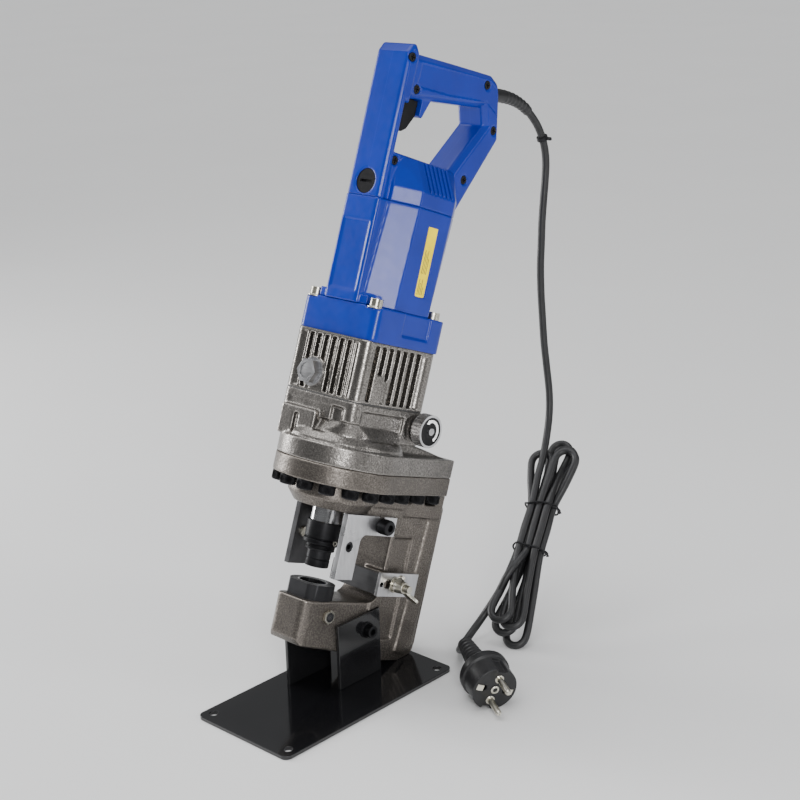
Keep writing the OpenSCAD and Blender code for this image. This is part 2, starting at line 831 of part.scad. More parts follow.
// Outline of an involute spur gear with a little backlash, one tooth on +X
module gear_outline(teeth) {
    backlash = 0.12;
    rp = gear_module * teeth / 2;
    rb = rp * cos(20);
    ra = rp + gear_module * 0.92;
    rf = rp - gear_module * 1.25;
    tp = involute_t(rb, rp);
    at_pitch = tp - atan(tp * PI / 180);
    half = 90 / teeth - backlash / rp * 90 / PI;
    flank = [for (k = [0:4])
        let (r = max(rb, rf) + (ra - max(rb, rf)) * k / 4)
        spin(involute_pt(rb, involute_t(rb, r)), -half - at_pitch)];
    tooth = concat(
        [spin([rf, 0], -half - at_pitch - 1)], flank,
        [for (k = [4:-1:0]) [flank[k][0], -flank[k][1]]],
        [spin([rf, 0], half + at_pitch + 1)]);
    polygon([for (i = [0:teeth - 1]) each [for (p = tooth) spin(p, i * 360 / teeth)]]);
}

module drive_gear() {
    color(steel) lean() difference() {
        translate([0, gear_y, gear_z0]) linear_extrude(gear_h)
            rotate(-90 + 180 / gear_teeth) gear_outline(gear_teeth);
        rod_z(5, gear_z0 - 1, gear_z0 + gear_h + 1, 0, gear_y);
    }
}

module eccentric_shaft() {
    color(steel) lean() union() {
        rod_z(5, 115, 212, 0, gear_y);
        rod_z(9, ecc_z0, ecc_z0 + ecc_h, 0, gear_y + eccentric_throw);
        rod_z(7, ecc_z0 + ecc_h, gear_z0 - 0.1, 0, gear_y);
    }
}

module eccentric_bearing() {
    color([0.6, 0.6, 0.62]) lean()
        ring_z(9, 13, ecc_z0 + 1, ecc_z0 + ecc_h - 1, 0, gear_y + eccentric_throw);
}

// ---------------------------------------------------------------- motor

module motor_flange() {
    color(motor_blue) lean() difference() {
        slab(tank_z, motor_z) rounded_rect(motor_flange_w, motor_flange_w, 7, 4);
        // gear chamber, bearing seat and shaft holes
        slab(tank_z + 4, motor_z - 9) rounded_rect(44, 62, 8, 8);
        rod_z(8.05, tank_z - 1, tank_z + 5, 0, gear_y);
        rod_z(5.05, motor_z - 10, motor_z - 5, 0, gear_y);
        rod_z(7, motor_z - 10, motor_z + 1, 0, motor_y);
        rod_z(11, motor_z - 7, motor_z + 1, 0, motor_y);
        // stepped recess in each side, open at the top
        for (sx = [-1, 1])
            translate([sx * (motor_flange_w / 2) - 2, -5, motor_z - 18]) cube([4, 31, 20]);
        // pockets for the screw heads
        for (p = tie_pts) {
            rod_z(tie_r, tank_z - 1, motor_z + 1, p[0], p[1]);
            rod_z(7.4, motor_z - 1.5, motor_z + 1, p[0], p[1]);
        }
    }
}

// Screws with their plain washers
module motor_screws() {
    seat_z = motor_z - 1.5;
    color(zinc) lean() for (p = tie_pts) translate([p[0], p[1], seat_z]) {
        difference() {
            rod_z(6.6, 0, 1.2);
            rod_z(tie_r, -1, 2);
        }
        translate([0, 0, 1.2])
            socket_screw(m6_head_r, 6, tie_r, seat_z - tie_end_z - 0.5 + 1.2, 5);
    }
}

module shell_section(front_x, front_y0, side_x, side_y, rear_y0, rear_x, rear_y) {
    polygon([
        [front_x, front_y0], [side_x, side_y], [side_x, rear_y0], [rear_x, rear_y],
        [-rear_x, rear_y], [-side_x, rear_y0], [-side_x, side_y], [-front_x, front_y0]
    ]);
}

module motor_housing() {
    wall = 3;
    color(motor_blue) lean() difference() {
        union() {
            hull() {
                slab(motor_z, motor_z + 1) shell_section(19, -33, 37, -15, 24, 24, 38);
                slab(shell_z - 1, shell_z) shell_section(19, -27, 35.5, -10, 28, 27, 40);
            }
            slab(motor_z, shell_z) rounded_rect(handle_w, 20, 3, front_y + 10);
            slab(motor_z, motor_z + 7) rounded_rect(56, 70, 4, 0);
        }
        hull() {
            slab(motor_z - 0.1, motor_z + 1)
                shell_section(17.8, -29.5, 33.5, -14, 22, 22, 34.5);
            slab(shell_z - 1, shell_z + 0.1)
                shell_section(17.8, -24, 32, -9, 26, 25, 36.5);
        }
        slab(motor_z + 8, shell_z - 18) translate([-14, front_y - 1]) square([28, 1.8]);
        for (p = tie_pts)
            rod_z(7.6, motor_z - 1, motor_z + 14, p[0], p[1]);
        // label seat on the right side
        translate([35, 4, motor_z + 14]) cube([5, 11, 54]);
    }
}

module stator() {
    color([0.35, 0.35, 0.37]) lean() difference() {
        rod_z(28, 232, 276, 0, motor_y);
        rod_z(19.6, 231, 277, 0, motor_y);
        // flat towards the front strip, and the gaps between the two poles
        translate([-30, motor_y - 42.4, 231]) cube([60, 20, 50]);
        for (sx = [-1, 1])
            translate([sx * 21 - 4, motor_y - 5, 231]) cube([8, 10, 50]);
    }
}

module rotor() {
    slots = 12;
    color(copper) lean() difference() {
        union() {
            rod_z(19, 232, 280, 0, motor_y);
            rod_z(15, 227, 290, 0, motor_y);
        }
        rod_z(5, 226, 291, 0, motor_y);
        for (i = [0:slots - 1])
            translate([0, motor_y, 0]) rotate(i * 360 / slots)
                translate([17.6, -0.8, 231]) cube([3, 1.6, 50]);
    }
}

module rotor_shaft() {
    color(steel) lean() union() {
        rod_z(5, gear_z0 + gear_h, 316, 0, motor_y);
        rod_z(4, 315.9, 327, 0, motor_y);
        translate([0, motor_y, gear_z0 - 1]) linear_extrude(gear_h + 1.1)
            rotate(90) gear_outline(pinion_teeth);
    }
}

module commutator() {
    bars = 24;
    color(copper) lean() difference() {
        rod_z(11, 300, 315.8, 0, motor_y);
        rod_z(5, 299, 317, 0, motor_y);
        for (i = [0:bars - 1])
            translate([0, motor_y, 0]) rotate(i * 360 / bars)
                translate([10.2, -0.25, 299]) cube([2, 0.5, 18]);
    }
}

module fan() {
    blades = 9;
    color([0.15, 0.15, 0.16]) lean() difference() {
        union() {
            rod_z(8, 219.5, 226, 0, motor_y);
            rod_z(24, 219.5, 220.7, 0, motor_y);
            for (i = [0:blades - 1])
                translate([0, motor_y, 220]) rotate(i * 360 / blades)
                    translate([6, -0.7, 0]) cube([17.8, 1.4, 6]);
        }
        rod_z(5, 219, 227, 0, motor_y);
    }
}

module rotor_bearings() {
    color([0.65, 0.65, 0.67]) lean() {
        ring_z(5.02, 11, motor_z - 7, motor_z, 0, motor_y);
        ring_z(4.02, 11, 319, 326, 0, motor_y);
    }
}

module brush_caps() {
    rear_face = 53;
    color(oxide_black) lean() {
        difference() {
            rod_y(9.5, front_y + 1, front_y + 7, 0, 309);
            translate([-6, front_y, 308]) cube([12, 3, 2]);
        }
        difference() {
            rod_y(9.5, rear_face - 6, rear_face, 0, 309);
            translate([-6, rear_face - 2, 308]) cube([12, 3, 2]);
        }
    }
}

module brushes() {
    color([0.2, 0.2, 0.2]) lean() for (sy = [-1, 1])
        translate([-3, sy > 0 ? motor_y + 11.2 : motor_y - 25.2, 305]) cube([6, 14, 8]);
}

module rating_label() {
    color([0.95, 0.85, 0.1]) lean()
        translate([35, 4.2, motor_z + 14.2]) cube([0.9, 10.6, 53.6]);
}

// ---------------------------------------------------------------- handle

// A bar of the handle: a convex side outline with its long edges chamfered
module bar(sx, half, cut, points) {
    hull() {
        side_plate(sx > 0 ? 0 : cut - half, sx > 0 ? half - cut : 0) polygon(points);
        side_plate(sx > 0 ? 0 : -half, sx > 0 ? half : 0)
            offset(delta = -cut) polygon(points);
    }
}

module handle_cavity() {
    polygon([[-33, 378], [-26, 406], [62, 412], [73, 404], [84, 374], [78, 366],
        [75, 378], [71.5, 389], [64, 397], [56, 395], [-12, 382]]);
    polygon([[-24, shell_z - 1], [-20, 326], [36, 326], [45, 336], [60, 342],
        [46, shell_z - 1]]);
}

module handle_half(sx) {
    half = handle_w / 2;
    side = half - bar_inset;
    difference() {
        union() {
            bar(sx, half, 2.5, front_bar);
            bar(sx, half, 3, front_head);
            bar(sx, side, 4.5, top_bar);
            bar(sx, side, 4.5, rear_bar);
            bar(sx, side, 4.5, rear_corner);
            side_plate(sx > 0 ? 0 : -side, sx > 0 ? side : 0) polygon(handle_base);
            side_plate(sx > 0 ? 0 : -12, sx > 0 ? 12 : 0) polygon(trigger_guard);
            intersection() {
                hull() {
                    slab(shell_z, shell_z + 12)
                        shell_section(19, -27, 35.5, -10, 28, 27, 40);
                    slab(331, 333) shell_section(14, -22, 22, -10, 26, 18, 40);
                }
                translate([sx > 0 ? 0 : -50, -60, shell_z]) cube([50, 120, 60]);
            }
        }
        translate([-60, -60, shell_z - 20]) cube([120, 180, 20]);
        // hollow inside
        side_plate(sx > 0 ? -1 : 3 - side, sx > 0 ? side - 3 : 1) handle_cavity();
        intersection() {
            hull() {
                slab(shell_z - 1, shell_z + 10)
                    shell_section(17, -23, 32, -8, 25, 24, 36);
                slab(328, 329) shell_section(12, -18, 18, -8, 22, 15, 34);
            }
            translate([sx > 0 ? -1 : -50, -60, shell_z - 1]) cube([51, 120, 60]);
        }
        // openings for the trigger, the brush caps, the upper bearing and the cord
        translate([-9.3, -29, 360]) cube([18.6, 21, 25]);
        rod_y(9.55, front_y - 1, front_y + 7, 0, 309);
        rod_y(9.55, 47, 70, 0, 309);
        rod_y(11.5, 53, 80, 0, 309);
        translate([-4, -40, 304]) cube([8, 20, 10]);
        translate([0, 70, 403.5]) rotate([-90, 0, 0]) cylinder(r = 6.5, h = 30);
        for (p = screw_pts) {
            if (sx > 0) rod_x(3.6, half - p[2] - 3, half + 20, p[0], p[1]);
            rod_x(1.6, -0.01, sx > 0 ? half : 2.5 - half, p[0], p[1]);
        }
        // cooling louvres on the shoulder
        for (i = [0:5])
            translate([sx > 0 ? 18 : -40, -2 + i * 5, 310]) cube([22, 2, 40]);
    }
}

module left_handle() {
    color(motor_blue) lean() handle_half(-1);
}

module right_handle() {
    color(motor_blue) lean() handle_half(1);
}

module handle_screws() {
    half = handle_w / 2;
    color(oxide_black) lean() for (p = screw_pts) translate([half - p[2], p[0], p[1]])
        difference() {
            union() {
                rod_x(3.3, -3, -0.6, 0, 0);
                rod_x(1.6, 2.5 - 2 * half + p[2], -2.9, 0, 0);
            }
            translate([-1.6, -0.5, -2]) cube([3, 1, 4]);
            translate([-1.6, -2, -0.5]) cube([3, 4, 1]);
        }
}

module trigger() {
    color(oxide_black) lean() side_plate(-9, 9) polygon([
        [-28.6, 377], [-28.6, 358], [-26, 353.5], [-20, 351.5], [-15.5, 354.5],
        [-11.5, 361], [-8.6, 366], [-8.6, 377]
    ]);
}

module switch_body() {
    color([0.1, 0.1, 0.1]) lean()
        translate([-8, -26, 386.2]) cube([16, 34, 15]);
}

// ---------------------------------------------------------------- cord and plug

module strain_relief() {
    n = len(sleeve_route);
    color(rubber_black)
        sweep(sleeve_route, [for (i = [0:n - 1]) 6.2 - 1.6 * i / (n - 1)], 12);
}

module power_cord() {
    color(rubber_black) {
        sweep(cord_route, cord_d / 2, 10);
        sweep(tail_route, cord_d / 2, 10);
    }
}

// Flat hank of the folded cord, standing on its lower loops
module hank_frame() {
    translate([57, 153, 15]) rotate([-47.9, 0, 18]) children();
}

module cord_hank() {
    color(rubber_black) hank_frame() rotate([90, 0, 0]) linear_extrude(24, center = true) {
        translate([0, 10]) circle(18);
        translate([0, 172]) circle(22);
        polygon([
            [-18, 10], [18, 10], [15, 60], [15, 125], [22, 172], [-22, 172],
            [-15, 125], [-15, 60]
        ]);
    }
}

// Band round the hank's waist
module hank_tie(z) {
    hank_frame() difference() {
        translate([-16.5, -13.5, z]) cube([33, 27, 3]);
        translate([-15, -12, z - 1]) cube([30, 24, 5]);
    }
}

module cord_ties() {
    color(oxide_black) {
        translate([-12, 289, 401]) rotate([24, 0, 0]) difference() {
            cylinder(r = 4.8, h = 4, center = true);
            cylinder(r = cord_d / 2, h = 6, center = true);
        }
        hank_tie(74);
        hank_tie(114);
    }
}

module plug_frame() {
    translate([94.5, 77, 21.3]) rotate([0, 9, -28.4]) rotate([69, 0, 0])
        rotate([0, 90, 0]) children();
}

module plug_body() {
    color(rubber_black) plug_frame() difference() {
        union() {
            translate([0, 0, -6]) cylinder(r1 = 13, r2 = plug_d / 2, h = 8);
            rod_z(plug_d / 2, 2, 8);
            rod_z(18.4, 8, 26);
            translate([0, 0, -37]) cylinder(r1 = 5.2, r2 = 9, h = 31.1);
        }
        for (s = [-1, 1]) {
            rod_z(2.4, 16, 27, s * 9.5, 0);
            translate([-4, s * 18.5 - 3, 10]) cube([8, 6, 20]);
        }
    }
}

module plug_pins() {
    color(zinc) plug_frame() for (s = [-1, 1])
        rod_z(2.4, 16, 45, s * 9.5, 0);
}

// ---------------------------------------------------------------- assembly

base_plate();
left_cheek();
right_cheek();
cheek_screws();
c_frame();
die();
die_set_screw();
rod_bush();
piston();
piston_seal();
return_spring();
piston_rod();
punch_nut();
punch_grub_screw();
punch();
left_stripper_plate();
right_stripper_plate();
left_stripper_screw();
right_stripper_screw();
left_thumb_screw();
right_thumb_screw();
gauge_bar();
gauge_bracket();
gauge_stud();
wing_nut();
flange_bolts();
cylinder_seal();
pump_body();
pump_plungers();
release_spindle();
release_knob();
oil_tank();
oil_plug();
oil_bladder();
drive_gear();
eccentric_shaft();
eccentric_bearing();
motor_flange();
motor_screws();
motor_housing();
stator();
rotor();
rotor_shaft();
commutator();
fan();
rotor_bearings();
brush_caps();
brushes();
rating_label();
left_handle();
right_handle();
handle_screws();
trigger();
switch_body();
strain_relief();
cord_ties();
power_cord();
cord_hank();
plug_body();
plug_pins();
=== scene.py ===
"""Looks for the hydraulic hole punch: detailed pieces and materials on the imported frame."""

import json
import math

import bmesh
import bpy
from mathutils import Matrix, Vector, noise


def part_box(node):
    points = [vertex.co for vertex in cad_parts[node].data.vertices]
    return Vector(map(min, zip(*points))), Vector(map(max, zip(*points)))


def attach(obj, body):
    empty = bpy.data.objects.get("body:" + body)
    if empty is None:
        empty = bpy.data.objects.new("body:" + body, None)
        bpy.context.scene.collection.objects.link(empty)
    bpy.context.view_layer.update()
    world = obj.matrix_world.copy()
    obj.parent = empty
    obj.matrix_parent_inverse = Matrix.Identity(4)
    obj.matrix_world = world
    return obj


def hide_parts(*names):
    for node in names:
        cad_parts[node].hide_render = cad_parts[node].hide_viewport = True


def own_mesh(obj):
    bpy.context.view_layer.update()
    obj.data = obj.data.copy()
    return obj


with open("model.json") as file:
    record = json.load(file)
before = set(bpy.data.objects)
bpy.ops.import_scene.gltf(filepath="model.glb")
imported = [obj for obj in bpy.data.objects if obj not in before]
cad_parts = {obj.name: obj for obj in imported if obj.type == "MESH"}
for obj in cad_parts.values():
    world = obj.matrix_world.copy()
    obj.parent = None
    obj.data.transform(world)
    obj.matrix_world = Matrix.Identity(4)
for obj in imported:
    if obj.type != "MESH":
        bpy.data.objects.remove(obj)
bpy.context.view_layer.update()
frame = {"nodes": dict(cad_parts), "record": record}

MM = 0.001


def mm(x, y, z, matrix=None):
    """A point given in millimetres, carried by matrix into the shared frame."""
    p = Vector((x * MM, y * MM, z * MM))
    return matrix @ p if matrix else p


def spin(degrees, axis):
    return Matrix.Rotation(math.radians(degrees), 4, axis)


def shift(x, y, z):
    return Matrix.Translation(mm(x, y, z))


# The frames of part.scad: the machine leans over its stand, with +Z up the ram's axis and the
# die's top at z = 0; the hank and the plug have their own, with +Z along each of them.
LEAN = Matrix.Translation((-0.012, 0, 0.094)) @ spin(-20.5, "X")
HANK = Matrix.Translation((0.057, 0.153, 0.015)) @ spin(18, "Z") @ spin(-47.9, "X")
PLUG = (
    Matrix.Translation((0.0945, 0.077, 0.0213))
    @ spin(-28.4, "Z") @ spin(9, "Y") @ spin(69, "X") @ spin(90, "Y")
)


# ------------------------------------------------------------------ camera

# Fitted to the plate's corners and holes, the cheeks' corners, the die's centre and the
# slopes of straight edges in the photograph, with the scale at the die held fixed.
CAMERA_AZIMUTH, CAMERA_PITCH, CAMERA_ROLL = 43.09, 17.81, -1.49
CAMERA_PLACE = (0.816, -0.7805, 0.6045)
CAMERA_LENS = 71.59

azimuth, pitch, roll = (math.radians(a) for a in (CAMERA_AZIMUTH, CAMERA_PITCH, CAMERA_ROLL))
right = Vector((math.cos(azimuth), math.sin(azimuth), 0))
forward = Vector(
    (
        -math.sin(azimuth) * math.cos(pitch),
        math.cos(azimuth) * math.cos(pitch),
        -math.sin(pitch),
    )
)
upward = right.cross(forward)
right_r = right * math.cos(roll) + upward * math.sin(roll)
up_r = upward * math.cos(roll) - right * math.sin(roll)
cam_data = bpy.data.cameras.new("camera")
cam_data.sensor_width = 36.0
cam_data.lens = CAMERA_LENS
cam_data.clip_start = 0.05
cam_data.clip_end = 30
camera = bpy.data.objects.new("camera", cam_data)
bpy.context.scene.collection.objects.link(camera)
turn = Matrix((right_r, up_r, -forward)).transposed().to_4x4()
camera.matrix_world = Matrix.Translation(CAMERA_PLACE) @ turn
bpy.context.scene.camera = camera


# ------------------------------------------------------------------ materials


PAINT_SPECULAR = 0.32
DULL_SPECULAR = 0.12


class Shade:
    """A principled material built up from procedural nodes."""

    def __init__(self, name, rgb, metallic=0.0, rough=0.5, coat=0.0, coat_rough=0.1):
        self.mat = bpy.data.materials.new(name)
        self.mat.use_nodes = True
        self.nodes = self.mat.node_tree.nodes
        self.links = self.mat.node_tree.links
        self.bsdf = self.nodes["Principled BSDF"]
        self.rgb = rgb
        self.bsdf.inputs["Base Color"].default_value = (*rgb, 1)
        self.bsdf.inputs["Metallic"].default_value = metallic
        self.bsdf.inputs["Roughness"].default_value = rough
        self.bsdf.inputs["Coat Weight"].default_value = coat
        self.bsdf.inputs["Coat Roughness"].default_value = coat_rough
        self.coords = self.add("ShaderNodeTexCoord").outputs["Object"]
        self.color = None
        self.normal = None

    def add(self, kind, **values):
        node = self.nodes.new(kind)
        for key, value in values.items():
            setattr(node, key, value)
        return node

    def stretched(self, scale):
        mapping = self.add("ShaderNodeMapping")
        mapping.inputs["Scale"].default_value = scale
        self.links.new(self.coords, mapping.inputs["Vector"])
        return mapping.outputs["Vector"]

    def noise(self, scale, detail=3.0, rough=0.55, vector=None):
        node = self.add("ShaderNodeTexNoise")
        node.inputs["Scale"].default_value = scale
        node.inputs["Detail"].default_value = detail
        node.inputs["Roughness"].default_value = rough
        self.links.new(vector or self.coords, node.inputs["Vector"])
        return node.outputs["Fac"]

    def ramp(self, fac, stops):
        node = self.add("ShaderNodeValToRGB")
        ramp = node.color_ramp
        while len(ramp.elements) < len(stops):
            ramp.elements.new(0.5)
        for element, (position, value) in zip(ramp.elements, stops):
            element.position = position
            rgb = value if isinstance(value, tuple) else (value, value, value)
            element.color = (*rgb, 1)
        self.links.new(fac, node.inputs["Fac"])
        return node.outputs["Color"]

    def tint(self, fac, stops):
        """Base colour from a ramp of factors on the base colour."""
        colours = [(p, tuple(min(1.0, c * k) for c in self.rgb)) for p, k in stops]
        self.color = self.ramp(fac, colours)
        self.links.new(self.color, self.bsdf.inputs["Base Color"])
        return self

    def mix_in(self, fac, rgb):
        """Lays another colour over what is there, by fac."""
        node = self.add("ShaderNodeMix", data_type="RGBA")
        self.links.new(fac, node.inputs["Factor"])
        if self.color:
            self.links.new(self.color, node.inputs[6])
        else:
            node.inputs[6].default_value = (*self.rgb, 1)
        node.inputs[7].default_value = (*rgb, 1)
        self.color = node.outputs[2]
        self.links.new(self.color, self.bsdf.inputs["Base Color"])
        return self

    def roughen(self, fac, low, high):
        node = self.add("ShaderNodeMapRange")
        node.inputs["From Min"].default_value = 0.3
        node.inputs["From Max"].default_value = 0.7
        node.inputs["To Min"].default_value = low
        node.inputs["To Max"].default_value = high
        self.links.new(fac, node.inputs["Value"])
        self.links.new(node.outputs["Result"], self.bsdf.inputs["Roughness"])
        return self

    def bump(self, fac, strength, depth_mm):
        node = self.add("ShaderNodeBump")
        node.inputs["Strength"].default_value = strength
        node.inputs["Distance"].default_value = depth_mm * MM
        self.links.new(fac, node.inputs["Height"])
        if self.normal:
            self.links.new(self.normal, node.inputs["Normal"])
        self.normal = node.outputs["Normal"]
        self.links.new(self.normal, self.bsdf.inputs["Normal"])
        return self

    def edges(self, low, high):
        """Convex edges as a factor, for wear and a painted highlight along them."""
        geometry = self.add("ShaderNodeNewGeometry")
        return self.ramp(geometry.outputs["Pointiness"], [(low, 0.0), (high, 1.0)])


def cast(name, rgb, metallic, rough, grain, depth, edge_wear_and_highlight, grain_and_glint):
    """Sand-cast metal: grains of a given contrast, partly their own tone and partly painted
    glints, over broad dull patches.
    """
    s = Shade(name, rgb, metallic, rough)
    fine = s.noise(grain, 4.0, 0.7)
    broad = s.noise(38, 3.0)
    # the fine grains' lighter tones are partly the metal's own and partly painted glints
    s.tint(fine, [(0.34, 1 - 0.6 * grain_and_glint), (0.5, 0.95), (0.68, 1 + 1.0 * grain_and_glint)])
    s.mix_in(s.ramp(broad, [(0.42, 0.0), (0.72, 0.4)]), tuple(c * 0.5 for c in rgb))
    # convex edges made lighter: partly wear, partly a painted highlight
    s.mix_in(s.edges(0.515, 0.57), tuple(min(1.0, c * edge_wear_and_highlight) for c in rgb))
    s.roughen(fine, rough + 0.12, rough - 0.08)
    s.bump(s.noise(grain * 0.6, 3.0, 0.6), 0.75, depth)
    s.bump(s.noise(110, 2.0), 0.35, depth * 3)
    return s.mat


def paint(name, rgb, rough, coat, peel):
    """Sprayed or moulded gloss with a faint orange peel, a little paler along its edges as a
    painted highlight.
    """
    s = Shade(name, rgb, 0.0, rough, coat, 0.06)
    s.bsdf.inputs["Specular IOR Level"].default_value = PAINT_SPECULAR
    s.tint(s.noise(30, 3.0), [(0.3, 0.88), (0.7, 1.1)])
    # edges made paler: a painted highlight
    s.mix_in(s.edges(0.54, 0.62), tuple(min(1.0, c * 1.5 + 0.02) for c in rgb))
    s.roughen(s.noise(190, 2.0), rough - 0.02, rough + 0.04)
    s.bump(s.noise(420, 2.0), 0.12, peel)
    return s.mat


def machined(name, rgb, rough=0.3, metallic=1.0, along=(40, 40, 900), edge_wear_and_highlight=1.5):
    """Turned, ground or plated metal: fine tool lines, stretched by the scales in along."""
    s = Shade(name, rgb, metallic, rough)
    lines = s.noise(1.0, 3.0, 0.6, s.stretched(along))
    s.tint(lines, [(0.35, 0.78), (0.65, 1.16)])
    # convex edges made lighter: partly wear, partly a painted highlight
    s.mix_in(s.edges(0.52, 0.6), tuple(min(1.0, c * edge_wear_and_highlight + 0.03) for c in rgb))
    s.roughen(s.noise(70, 4.0), rough - 0.06, rough + 0.12)
    s.bump(lines, 0.25, 0.03)
    return s.mat


def polymer(name, rgb, rough=0.5, grain=900, depth=0.05, coat=0.0):
    """Moulded plastic, rubber or print: a fine grain, and paler edges as a painted highlight."""
    s = Shade(name, rgb, 0.0, rough, coat, 0.2)
    s.tint(s.noise(60, 3.0), [(0.3, 0.75), (0.7, 1.35)])
    # edges made paler: a painted highlight
    s.mix_in(s.edges(0.53, 0.62), tuple(c * 2.2 + 0.01 for c in rgb))
    s.roughen(s.noise(grain * 0.4, 3.0), rough - 0.08, rough + 0.1)
    s.bump(s.noise(grain, 3.0), 0.3, depth)
    return s.mat


MATS = {
    "cast_frame": cast(
        "cast_frame", (0.165, 0.148, 0.132), 0.88, 0.36,
        grain=900, depth=0.22, edge_wear_and_highlight=2.2, grain_and_glint=0.85,
    ),
    "pump_casting": cast(
        "pump_casting", (0.225, 0.212, 0.198), 0.92, 0.30,
        grain=820, depth=0.26, edge_wear_and_highlight=2.2, grain_and_glint=1.0,
    ),
    "tank_alloy": cast(
        "tank_alloy", (0.24, 0.226, 0.21), 0.95, 0.26,
        grain=760, depth=0.14, edge_wear_and_highlight=2.4, grain_and_glint=0.9,
    ),
    "stand_black": paint("stand_black", (0.006, 0.006, 0.007), 0.14, 0.6, 0.06),
    "motor_blue": paint("motor_blue", (0.002, 0.025, 0.34), 0.30, 0.22, 0.06),
    "blue_plastic": paint("blue_plastic", (0.002, 0.024, 0.34), 0.30, 0.18, 0.04),
    "black_oxide": machined(
        "black_oxide", (0.009, 0.009, 0.010), 0.36, 0.5, (300, 300, 300), edge_wear_and_highlight=4.0
    ),
    "plated_zinc": machined("plated_zinc", (0.52, 0.50, 0.43), 0.28, 1.0, (300, 300, 300)),
    "bright_steel": machined("bright_steel", (0.42, 0.42, 0.43), 0.30, 1.0, (60, 60, 700)),
    "chromed": machined("chromed", (0.72, 0.72, 0.73), 0.10, 1.0, (20, 20, 900), edge_wear_and_highlight=1.1),
    "dark_steel": machined(
        "dark_steel", (0.05, 0.05, 0.052), 0.38, 0.9, (30, 700, 700), edge_wear_and_highlight=2.5
    ),
    "plate_steel": machined("plate_steel", (0.46, 0.46, 0.47), 0.30, 1.0, (30, 500, 60)),
    "bronze": machined("bronze", (0.55, 0.36, 0.14)),
    "copper_winding": machined("copper_winding", (0.55, 0.22, 0.10), 0.35, 0.9, (900, 900, 60)),
    "lamination": machined("lamination", (0.12, 0.12, 0.13), 0.45, 0.8, (10, 10, 2500)),
    "rubber_black": polymer("rubber_black", (0.012, 0.012, 0.013), 0.42),
    "black_plastic": polymer("black_plastic", (0.008, 0.008, 0.009), 0.40, 1200, 0.04, 0.1),
    "label_yellow": polymer("label_yellow", (0.80, 0.60, 0.0), 0.6, 700, 0.01),
    "carbon": polymer("carbon", (0.02, 0.02, 0.02), 0.6, 800),
    "knob_metal": machined("knob_metal", (0.42, 0.42, 0.43), 0.26, 1.0, (300, 300, 300)),
    "print_black": polymer("print_black", (0.03, 0.03, 0.03), 0.5, 700, 0.01),
    "print_white": polymer("print_white", (0.75, 0.75, 0.75), 0.5, 700, 0.01),
}
for dull in ("label_yellow", "black_oxide", "black_plastic"):
    bsdf = MATS[dull].node_tree.nodes["Principled BSDF"]
    bsdf.inputs["Specular IOR Level"].default_value = DULL_SPECULAR

SLOT_OF = {s["node"]: s["material_slot"] for s in frame["record"]["subparts"]}
BODY_OF = {
    n: body for body, names in frame["record"]["behaviour"]["bodies"].items() for n in names
}


# ------------------------------------------------------------------ mesh helpers


def smooth(mesh, angle=None):
    """The mesh shaded smooth, with edges past angle in degrees kept sharp."""
    mesh.polygons.foreach_set("use_smooth", [True] * len(mesh.polygons))
    if angle is not None:
        mesh.set_sharp_from_angle(angle=math.radians(angle))
    mesh.update()
    return mesh


def add_piece(name, mesh, body, slot, replaces=(), material=None):
    obj = bpy.data.objects.new(name, mesh)
    bpy.context.scene.collection.objects.link(obj)
    mesh.materials.clear()
    mesh.materials.append(MATS[material or slot])
    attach(obj, body)
    if replaces:
        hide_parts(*replaces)
    return obj


def node_bmesh(node, merge=True):
    """A CAD node's mesh, with its flat faces merged back into whole ones."""
    bm = bmesh.new()
    bm.from_mesh(frame["nodes"][node].data)
    bmesh.ops.remove_doubles(bm, verts=bm.verts, dist=2e-6)
    if merge:
        bmesh.ops.dissolve_limit(
            bm, angle_limit=math.radians(0.5), verts=bm.verts, edges=bm.edges
        )
    return bm


def modified(mesh, steps):
    """The mesh after a list of (type, settings) modifiers."""
    obj = bpy.data.objects.new("temporary", mesh)
    bpy.context.scene.collection.objects.link(obj)
    for kind, settings in steps:
        mod = obj.modifiers.new(kind.lower(), kind)
        for key, value in settings.items():
            setattr(mod, key, value)
    bpy.context.view_layer.update()
    graph = bpy.context.evaluated_depsgraph_get()
    out = bpy.data.meshes.new_from_object(obj.evaluated_get(graph))
    bpy.data.objects.remove(obj)
    return out


def beveled(mesh, name, width, segments=2, angle=38):
    """The mesh with its edges broken and its large faces kept flat in the light."""
    bevel = {
        "width": width * MM,
        "segments": segments,
        "limit_method": "ANGLE",
        "angle_limit": math.radians(angle),
        "use_clamp_overlap": True,
    }
    weight = {"mode": "FACE_AREA", "weight": 90, "keep_sharp": True}
    mesh = modified(smooth(mesh), [("BEVEL", bevel), ("WEIGHTED_NORMAL", weight)])
    mesh.name = name
    return mesh


def hard(node, width, segments=2):
    """A machined or pressed part: the CAD shape with its edges broken."""
    bm = node_bmesh(node)
    mesh = bpy.data.meshes.new("v_" + node)
    bm.to_mesh(mesh)
    bm.free()
    return beveled(mesh, "v_" + node, width, segments)


def rounded(mesh, voxel, rounds, shape):
    """The mesh remeshed at a voxel in mm, smoothed, and its points passed through shape."""
    mesh = modified(
        mesh,
        [
            ("REMESH", {"mode": "VOXEL", "voxel_size": voxel * MM, "adaptivity": 0.0}),
            ("SMOOTH", {"factor": 0.5, "iterations": rounds}),
        ],
    )
    if shape:
        for v in mesh.vertices:
            v.co = Vector(shape(v.co / MM)) * MM
    return mesh


def soft(node, voxel, rounds, matrix=LEAN, shape=None):
    """A cast or moulded part: remeshed square to its own axes, with rounded edges."""
    bm = node_bmesh(node, merge=False)
    bm.transform(matrix.inverted())
    mesh = bpy.data.meshes.new("v_" + node)
    bm.to_mesh(mesh)
    bm.free()
    mesh = rounded(mesh, voxel, rounds, shape)
    mesh.transform(matrix)
    mesh.name = "v_" + node
    return smooth(mesh)


